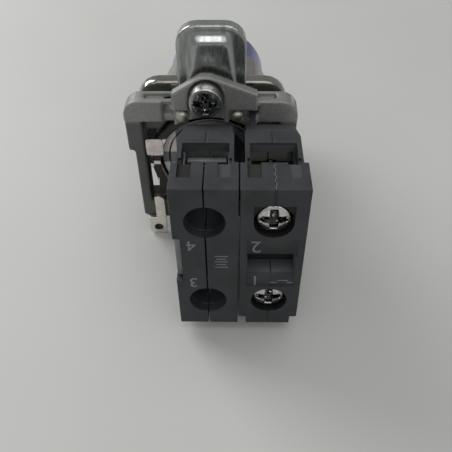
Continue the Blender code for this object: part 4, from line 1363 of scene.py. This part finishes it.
@dataclass
class Collar:
    """The die-cast collar with its tab, rivets, clamp screw and locking lever."""

    dresser: Dresser
    casting_grid: float = 0.24 * MM
    casting_passes: int = 3
    lever_grid: float = 0.13 * MM
    lever_passes: int = 36
    clamp_head: float = 3.0 * MM
    # The clamp screw's face is painted dark: painted reflection of its dark surroundings.
    clamp_face: Colour = (0.2, 0.21, 0.225)
    tab_edge: float = 0.12 * MM
    eye: Pair = (-11.2 * MM, -15.5 * MM)
    eye_radius: float = 0.88 * MM
    eye_margin: float = 0.05 * MM
    cup_depth: float = 0.3 * MM
    cup_lip: float = 0.1 * MM
    cup_shares: Pair = (0.5, 0.75)
    shim_place: Pair = (-10.4 * MM, 3.6 * MM)
    shim_half: Pair = (1.55 * MM, 1.8 * MM)
    shim_corner: float = 0.5 * MM
    shim_squareness: float = 2.0
    shim_depth: Pair = (-4.8 * MM, -4.64 * MM)
    trim_around: int = 48

    def build(self) -> None:
        """Makes and dresses the collar's pieces."""
        dresser = self.dresser
        dresser.cast("collar_frame", COLLAR_CASTING, self.casting_grid, self.casting_passes)
        dresser.cast("locking_lever", LEVER_PLATE, self.lever_grid, self.lever_passes)
        dresser.eased("earth_tab", EARTH_PLATE, self.tab_edge)
        for name, finish in (("rivet", RIVET_TIN), ("lever_pin", PLATED_STEEL)):
            for side in ("left", "right"):
                dresser.eased(f"{name}_{side}", finish)
        clamp = Screw("clamp_screw", Recess.CROSS, head_height=self.clamp_head)
        dresser.adopt(clamp.build(), clamp.node, clamp.finish(self.clamp_face))
        dresser.trim(self.eyelet(), "earth_tab", GASKET_RUBBER)
        dresser.trim(self.shim(), "collar_frame", SHIM_PLATE)

    def shim(self) -> Piece:
        """A bright shim on the barrel's end in the empty bay, a painted reflection: a rounded
        rectangle drawn along Y.

        Returns:
            The shim.
        """
        turn = full_turn(self.trim_around)
        bulge = self.shim_corner

        def rounded(wave: np.ndarray, half: float) -> np.ndarray:
            """One coordinate of the rectangle: a clipped wave, with round corners added."""
            return np.clip(wave * self.shim_squareness, -1.0, 1.0) * (half - bulge) + bulge * wave

        x = rounded(np.cos(turn), self.shim_half[0])
        z = rounded(np.sin(turn), self.shim_half[1])
        rear, front = self.shim_depth
        rims = np.array([(0.0, rear), (1.0, rear), (1.0, front), (0.0, front)])
        size, y = rims[:, :1], rims[:, 1:]
        points = [self.shim_place[0] + size * x, y + 0.0 * x, self.shim_place[1] + size * z]
        return grid_surface("bay_shim", np.stack(points, axis=-1))

    def eyelet(self) -> Piece:
        """A dark cup that fills the tab's eye: a shallow cup turned about the eye's axis.

        Returns:
            The dark cup.
        """
        low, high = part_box("earth_tab")
        rear, front = low.y + self.eye_margin, high.y - self.eye_margin
        floor, lip = (share * self.eye_radius for share in self.cup_shares)
        profile = (
            (0.0, rear + self.cup_depth),
            (floor, rear + self.cup_depth),
            (lip, rear),
            (self.eye_radius, rear + self.cup_lip),
            (self.eye_radius, front),
            (0.0, front),
        )
        made = turned_surface("earth_eyelet", np.array(profile), self.trim_around)
        made.data.transform(Matrix.Translation((self.eye[0], 0.0, self.eye[1])))
        return made


@dataclass(frozen=True)
class Mark:
    """A plain digit printed on a block's rear face, upside down in the photo's view."""

    text: str
    x: float
    z: float
    height: float = 2.2 * MM
    font_share: float = 1.4

    def build(self, name: str, face_y: float, lift: float) -> Piece:
        """Makes the digit as a thin raised solid.

        Args:
            name: the piece's name.
            face_y: Y of the face it is printed on.
            lift: how far the ink stands off the face.

        Returns:
            The piece, in place.
        """
        curve = bpy.data.curves.new(name, "FONT")
        curve.body = self.text
        curve.size = self.height * self.font_share
        curve.align_x = "CENTER"
        curve.align_y = "CENTER"
        curve.extrude = lift / 2
        text = bpy.data.objects.new(name, curve)
        bpy.context.scene.collection.objects.link(text)
        graph = bpy.context.evaluated_depsgraph_get()
        mesh = bpy.data.meshes.new_from_object(text.evaluated_get(graph))
        bpy.data.objects.remove(text, do_unlink=True)
        stand = Matrix.Rotation(math.pi / 2, 4, "X")
        turned = Matrix.Rotation(math.pi, 4, "Y")
        place = Matrix.Translation((self.x, face_y - lift / 2, self.z))
        mesh.transform(place @ turned @ stand)
        mesh.name = name
        return mesh_piece(name, mesh)


def flat_bars(name: str, bars: np.ndarray, rear: float, front: float) -> Piece:
    """Thin upright bars that lie along a block's rear face.

    Each bar is a box: a rectangle turned in X and Z by its slant, drawn from rear to front.

    Args:
        name: the piece's name.
        bars: rows of (x, z, length, thickness, slant in radians).
        rear: Y of the bars' rear faces.
        front: Y of the bars' front faces.

    Returns:
        All the bars as one piece.
    """
    corners = np.array([(-0.5, -0.5), (0.5, -0.5), (0.5, 0.5), (-0.5, 0.5)])
    flat = corners[None, :, :] * bars[:, None, 2:4]
    cosine, sine = np.cos(bars[:, 4])[:, None], np.sin(bars[:, 4])[:, None]
    x = bars[:, :1] + flat[..., 0] * cosine - flat[..., 1] * sine
    z = bars[:, 1:2] + flat[..., 0] * sine + flat[..., 1] * cosine
    rings = [np.stack([x, np.full_like(x, y), z], axis=-1) for y in (rear, front)]
    points = np.concatenate(rings, axis=1).reshape(-1, 3)
    ends = [(0, 1, 2, 3), (7, 6, 5, 4)]
    sides = np.array([*ends, (0, 4, 5, 1), (1, 5, 6, 2), (2, 6, 7, 3), (3, 7, 4, 0)])
    quads = (sides[None] + 8 * np.arange(len(bars))[:, None, None]).reshape(-1, 4)
    mesh = bpy.data.meshes.new(name)
    mesh.from_pydata(points.tolist(), [], quads.tolist())
    return mesh_piece(name, mesh)


def seam_web(name: str, path: np.ndarray, inward: Pair, width: float) -> Piece:
    """A thin web that closes part of a casing's seam.

    A rectangle is carried along the path: its width lies along X and its depth points inwards.

    Args:
        name: the piece's name.
        path: rows of (x, y, z) along the casing's surface.
        inward: the depth as Y and Z.
        width: the web's thickness along X.

    Returns:
        The web as one closed piece.
    """
    across = width * np.array([-0.5, 0.5, 0.5, -0.5])
    deep = np.array([0.0, 0.0, 1.0, 1.0])
    offsets = np.stack([across, deep * inward[0], deep * inward[1]], axis=-1)
    return capped_surface(name, path[:, None, :] + offsets[None, :, :])


def half_sleeve(name: str, centre: Pair, radii: Pair, reach: Pair, turn: np.ndarray) -> Piece:
    """Part of a tube along Y: its section, a rectangle, carried round the axis.

    Args:
        name: the piece's name.
        centre: X and Z of the tube's axis.
        radii: its inner and outer radius.
        reach: Y of its two ends.
        turn: the angles it covers, from X towards Z.

    Returns:
        The part of the tube as one closed piece.
    """
    radius = np.array([radii[0], radii[1], radii[1], radii[0]])
    along = np.array([reach[0], reach[0], reach[1], reach[1]])
    points = [
        centre[0] + np.outer(np.cos(turn), radius),
        np.broadcast_to(along, (len(turn), len(along))),
        centre[1] + np.outer(np.sin(turn), radius),
    ]
    return capped_surface(name, np.stack(points, axis=-1))


@dataclass
class WiringBlock:
    """A wiring block: its casing halves, terminal screws, clamps and printed marks."""

    dresser: Dresser
    kind: str
    casing: MouldedPlastic
    recess: Recess
    strip: BareMetal
    strips: tuple[str, ...]
    marks: tuple[Mark, ...]
    bars: tuple[tuple[float, ...], ...]
    ink: float = 0.02 * MM
    plate_depth: float = 0.0
    casing_edge: float = 0.14 * MM
    clamp_edge: float = 0.1 * MM
    strip_edge: float = 0.05 * MM
    terminal_z: float = 8.9 * MM
    side_step: float = 0.7 * MM
    slope_start: float = -16.3 * MM
    slope_chamfers: Pair = (1.5 * MM, 0.3 * MM)
    screw_arm: float = 1.4 * MM
    screw_dome: float = 0.36 * MM
    screw_fullness: float = 0.92
    seam_width: float = 0.19 * MM
    snout: tuple[Pair, ...] = ((-19.18, 15.17), (-16.2, 15.17), (-10.3, 12.37), (-8.03, 9.27))
    snout_depth: float = 1.4

    def sides(self) -> Pair:
        """Measures the casing.

        Returns:
            X of its left and its right side.
        """
        low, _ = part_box(f"{self.kind}_shell_left")
        _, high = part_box(f"{self.kind}_shell_right")
        return low.x, high.x

    def holes(self) -> tuple[Pair, ...]:
        """X and Z of the upper and the lower screw hole."""
        return tuple((sum(self.sides()) / 2, up * self.terminal_z) for _, up in LEVELS)

    def shells(self) -> None:
        """Makes both halves of the casing."""
        left, right = self.sides()
        outsides = (left + self.side_step, right - self.side_step)
        rounders = tuple(ChordRounder(hole) for hole in self.holes())
        for side, outer, broad in zip(("left", "right"), outsides, self.slope_chamfers):
            self.dresser.eased(
                f"{self.kind}_shell_{side}",
                self.casing,
                self.casing_edge,
                rounders,
                SlopeChamfer(outer, self.slope_start, broad),
                boxed=True,
            )

    def terminals(self) -> None:
        """Makes the terminal screws, the clamps and the strips."""
        for level, _ in LEVELS:
            screw = Screw(
                f"{self.kind}_screw_{level}",
                self.recess,
                arm=self.screw_arm,
                dome=self.screw_dome,
                fullness=self.screw_fullness,
            )
            self.dresser.adopt(screw.build(), screw.node, screw.finish())
            self.dresser.eased(f"{self.kind}_clamp_{level}", PLATED_STEEL, self.clamp_edge)
        for node in self.strips:
            self.dresser.eased(node, self.strip, self.strip_edge)

    def print_marks(self) -> None:
        """Prints the digits and bars on the rear face."""
        rear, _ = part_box(f"{self.kind}_shell_left")
        face_y = rear.y + self.plate_depth
        for number, mark in enumerate(self.marks):
            made = mark.build(f"{self.kind}_mark_{number}", face_y, self.ink)
            self.fasten(made, LEGEND_INK)
        bars = MM * np.array(self.bars)
        self.fasten(flat_bars(f"{self.kind}_bars", bars, face_y - self.ink, face_y), LEGEND_INK)

    def build(self) -> None:
        """Makes and dresses the block's pieces."""
        self.shells()
        self.terminals()
        self.print_marks()
        self.close_seam()

    def web(self, label: str, outline: tuple[Pair, ...], inward: Pair) -> None:
        """Closes the seam along an outline.

        Args:
            label: what part of the seam it is.
            outline: (y, z) points in millimetres.
            inward: the web's depth as Y and Z, in millimetres.
        """
        flat = MM * np.array(outline)
        path = np.column_stack([np.full(len(flat), sum(self.sides()) / 2), flat])
        depth = (MM * inward[0], MM * inward[1])
        name = f"{self.kind}_seam_{label}"
        self.fasten(seam_web(name, path, depth, self.seam_width), self.casing)

    def close_seam(self) -> None:
        """Closes the seam over both snouts, where the halves meet without a line."""
        for level, up in LEVELS:
            outline = tuple((y, up * z) for y, z in self.snout)
            self.web(f"snout_{level}", outline, (0.0, -self.snout_depth * up))

    def fasten(self, made: Piece, finish: Finish) -> None:
        """Fixes a printed or trim piece to the block's casing."""
        self.dresser.trim(made, f"{self.kind}_shell_left", finish)


@dataclass
class LightBlock(WiringBlock):
    """The light block, with a release bar in its left side's notch and sleeves in its holes."""

    sleeve_radii: Pair = (3.05 * MM, 3.33 * MM)
    sleeve_reach: Pair = (-28.3 * MM, -22.9 * MM)
    sleeve_steps: int = 40
    bar_inset: float = 1.2 * MM
    bar_width: float = 1.0 * MM
    bar_middle: float = 0.6
    bar_depth: float = 3.0 * MM
    bar_span: Pair = (-3.95 * MM, 5.45 * MM)
    bar_edge: float = 0.12 * MM

    def build(self) -> None:
        """Makes the block, its sleeves and its release bar."""
        super().build()
        self.line_holes()
        self.release_bar()

    def release_bar(self) -> None:
        """Makes the release bar, a box with eased edges."""
        low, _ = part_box("light_shell_left")
        rear = low.y + self.bar_inset
        x = low.x + self.bar_width * self.bar_middle
        bar = [(x, sum(self.bar_span) / 2, self.bar_width, np.ptp(self.bar_span), 0.0)]
        made = flat_bars("light_release_bar", np.array(bar), rear, rear + self.bar_depth)
        edge = made.modifiers.new("edge", "BEVEL")
        edge.width = self.bar_edge
        edge.segments = 2
        self.fasten(made, RELEASE_GREY)

    def line_holes(self) -> None:
        """Lines both screw holes with sleeves, each in two halves that leave the seam open."""
        gap = self.seam_width / self.sleeve_radii[0]
        reach = np.pi / 2 - gap / 2
        half = np.linspace(-reach, reach, self.sleeve_steps)
        for (level, _), centre in zip(LEVELS, self.holes()):
            for side, start in (("right", 0.0), ("left", np.pi)):
                name = f"light_sleeve_{level}_{side}"
                turn = half + start
                made = half_sleeve(name, centre, self.sleeve_radii, self.sleeve_reach, turn)
                self.fasten(made, BLACK_CASE)


@dataclass
class ContactBlock(WiringBlock):
    """The contact block, whose rear face shows no seam and whose top shows a line of flash.

    A rear web has a label, Y of its face, Z of its two ends and its depth, in millimetres.
    """

    slope_chamfers: Pair = (0.3 * MM, 1.5 * MM)
    rear_webs: tuple[tuple[str, float, float, float, float], ...] = (
        ("rear_0_upper", -29.78, 12.2, 15.15, 1.2),
        ("rear_1_upper", -29.78, 5.37, 5.92, 1.2),
        ("rear_1_lower", -29.78, -5.37, -5.92, 1.2),
        ("rear_2_upper", -29.48, 2.17, 5.33, 1.2),
        ("rear_2_lower", -29.48, -2.17, -5.33, 1.2),
        ("rear_3_upper", -28.4, 2.17, 3.7, 3.2),
        ("rear_3_lower", -28.4, -2.17, -3.7, 3.2),
        ("foot", -29.78, -15.15, -11.9, 1.2),
        ("pocket", -26.58, -2.13, 2.13, 1.2),
    )
    flash_reach: Pair = (-29.7 * MM, -23.85 * MM)
    flash_place: Pair = (10.0 * MM, 15.2 * MM)
    flash_wander: float = 0.16 * MM
    flash_waves: Pair = (17.0, 41.0)
    flash_steps: int = 26
    flash_depth: float = 1.0 * MM

    def close_seam(self) -> None:
        """Closes the seam on the rear face as well, and adds the flash on top."""
        super().close_seam()
        for label, face, start, end, depth in self.rear_webs:
            self.web(label, ((face, start), (face, end)), (depth, 0.0))
        share = np.linspace(0.0, 1.0, self.flash_steps)
        slow, fast = self.flash_waves
        wander = self.flash_wander * np.sin(slow * share) * np.cos(fast * share)
        start, end = self.flash_reach
        x, top = self.flash_place
        path = np.column_stack([x + wander, start + (end - start) * share, 0.0 * share + top])
        flash = seam_web("contact_flash", path, (0.0, -self.flash_depth), self.seam_width)
        self.fasten(flash, SEAM_FLASH)


@dataclass
class SwitchWorks:
    """What moves and lights inside the blocks."""

    dresser: Dresser
    plunger_edge: float = 0.1 * MM

    def build(self) -> None:
        """Makes and dresses the contact's moving pieces and the light source."""
        self.dresser.eased("contact_bridge", DULL_BRASS)
        self.dresser.eased("contact_plunger", WHITE_PLASTIC, self.plunger_edge)
        self.dresser.eased("led_board", BOARD_LACQUER)
        self.dresser.eased("led_lamp", LAMP_CLEAR)
        low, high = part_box("contact_spring")
        middle = (low + high) / 2
        about = (middle.x, middle.z)
        spring = CoilSpring(
            "contact_spring", "plunger_slide", about, wire=0.45 * MM, turns=5.0, kept=0.43
        )
        spring.build(self.dresser)


@dataclass(frozen=True)
class SoftLight:
    """A soft light, level along its width, that faces the object."""

    name: str
    place: Point
    width: float
    height: float
    power: float

    def build(self) -> None:
        """Puts the light into the scene."""
        lamp = bpy.data.lights.new(self.name, "AREA")
        lamp.shape = "RECTANGLE"
        lamp.size = self.width
        lamp.size_y = self.height
        lamp.energy = self.power
        made = bpy.data.objects.new(self.name, lamp)
        made.location = self.place
        made.rotation_euler = (-Vector(self.place)).to_track_quat("-Z", "Y").to_euler()
        bpy.context.scene.collection.objects.link(made)


@dataclass
class Studio:
    """Table, soft light and the camera at the photograph's place."""

    table_z: float = -17.32 * MM
    table_side: float = 2.4
    table_lines: int = 5
    focal_px: float = 551.2
    frame_px: float = 452.0
    sensor_mm: float = 36.0
    nearest: float = 2.0 * MM
    place: Point = (4.5 * MM, -86.0 * MM, 64.1 * MM)
    pitch: float = math.radians(44.76)
    yaw: float = math.radians(-1.43)
    roll: float = math.radians(-0.69)
    sky: Colour = (0.36, 0.365, 0.365)
    soft_lights: tuple[SoftLight, ...] = (
        SoftLight("overhead", (0.1, 0.0, 0.6), 0.5, 0.5, 0.8),
        SoftLight("window", (-0.34, 0.28, 0.28), 0.3, 0.3, 1.5),
        SoftLight("behind", (0.06, -0.5, 0.34), 0.7, 0.14, 0.9),
    )

    def table(self) -> None:
        """A table top under the object, as a coarse flat grid."""
        lines = self.table_lines
        steps = np.linspace(-0.5, 0.5, lines) * self.table_side
        x, y = np.meshgrid(steps, steps, indexing="ij")
        points = np.stack([x, y, np.full_like(x, self.table_z)], axis=-1).reshape(-1, 3)
        index = np.arange(lines * lines).reshape(lines, lines)
        corners = [index[:-1, :-1], index[1:, :-1], index[1:, 1:], index[:-1, 1:]]
        quads = np.stack(corners, axis=-1).reshape(-1, 4)
        mesh = bpy.data.meshes.new("table_top")
        mesh.from_pydata(points.tolist(), [], quads.tolist())
        top = mesh_piece("table_top", mesh)
        top.data.materials.append(TABLE.build())

    def lights(self) -> None:
        """A wide light overhead, a window at the far left, one behind and a plain sky."""
        for light in self.soft_lights:
            light.build()
        world = bpy.data.worlds.new("studio")
        world.use_nodes = True
        sky = world.node_tree.nodes["Background"]
        sky.inputs["Color"].default_value = (*self.sky, 1.0)
        sky.inputs["Strength"].default_value = 1.0
        bpy.context.scene.world = world

    def camera(self) -> None:
        """The camera, from its measured place, pitch, yaw and roll."""
        level = Vector((math.cos(self.yaw), -math.sin(self.yaw), 0.0))
        forward = Vector((math.sin(self.yaw), math.cos(self.yaw), 0.0))
        ahead = math.cos(self.pitch) * forward - Vector((0.0, 0.0, math.sin(self.pitch)))
        upright = level.cross(ahead)
        right = math.cos(self.roll) * level + math.sin(self.roll) * upright
        up = math.cos(self.roll) * upright - math.sin(self.roll) * level
        lens = bpy.data.cameras.new("photo_camera")
        lens.sensor_width = self.sensor_mm
        lens.lens = self.sensor_mm * self.focal_px / self.frame_px
        lens.clip_start = self.nearest
        made = bpy.data.objects.new("photo_camera", lens)
        turned = Matrix((right, up, -ahead)).transposed().to_4x4()
        made.matrix_world = Matrix.Translation(self.place) @ turned
        bpy.context.scene.collection.objects.link(made)
        bpy.context.scene.camera = made

    def build(self) -> None:
        """Sets the table, the lights, the camera and the plain view transform."""
        self.table()
        self.lights()
        self.camera()
        bpy.context.scene.view_settings.view_transform = "Standard"


# Printed bars, in millimetres: x, z, length, thickness and slant in radians.
SCALE_BARS = tuple(
    (2.3, 0.6 + 0.62 * step, 2.0 - 0.5 * (step % 2), 0.16, 0.0) for step in range(-2, 3)
)
OPEN_CONTACT = (
    (10.6, -4.6, 1.0, 0.2, 0.0),
    (13.2, -4.6, 1.0, 0.2, 0.0),
    (12.0, -4.1, 1.7, 0.2, -0.6),
)
LIGHT_MARKS = (Mark("4", -2.2 * MM, 4.2 * MM), Mark("3", -2.2 * MM, -4.3 * MM))
CONTACT_MARKS = (
    Mark("2", 7.6 * MM, 3.8 * MM, 2.5 * MM),
    Mark("1", 7.6 * MM, -4.1 * MM, 2.4 * MM),
)


def main() -> None:
    """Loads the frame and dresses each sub-assembly."""
    logging.basicConfig(level=logging.INFO, format="%(name)s: %(message)s")
    for leftover in list(bpy.data.objects):
        bpy.data.objects.remove(leftover, do_unlink=True)
    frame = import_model()
    bpy.context.view_layer.update()
    dresser = Dresser.from_frame(frame)
    assemblies = (
        Head(dresser),
        Collar(dresser),
        LightBlock(
            dresser,
            "light",
            LIGHT_CASE,
            Recess.CROSS,
            TINNED_STRIP,
            ("light_terminal_upper", "light_terminal_lower"),
            LIGHT_MARKS,
            SCALE_BARS,
        ),
        ContactBlock(
            dresser,
            "contact",
            CONTACT_CASE,
            Recess.CROSS_AND_SLOT,
            DULL_BRASS,
            ("fixed_contact_upper", "fixed_contact_lower"),
            CONTACT_MARKS,
            OPEN_CONTACT,
            plate_depth=0.3 * MM,
        ),
        SwitchWorks(dresser),
        Studio(),
    )
    for assembly in assemblies:
        assembly.build()
        LOG.info("%s built", type(assembly).__name__)
    bpy.context.view_layer.update()


if __name__ == "__main__":
    main()
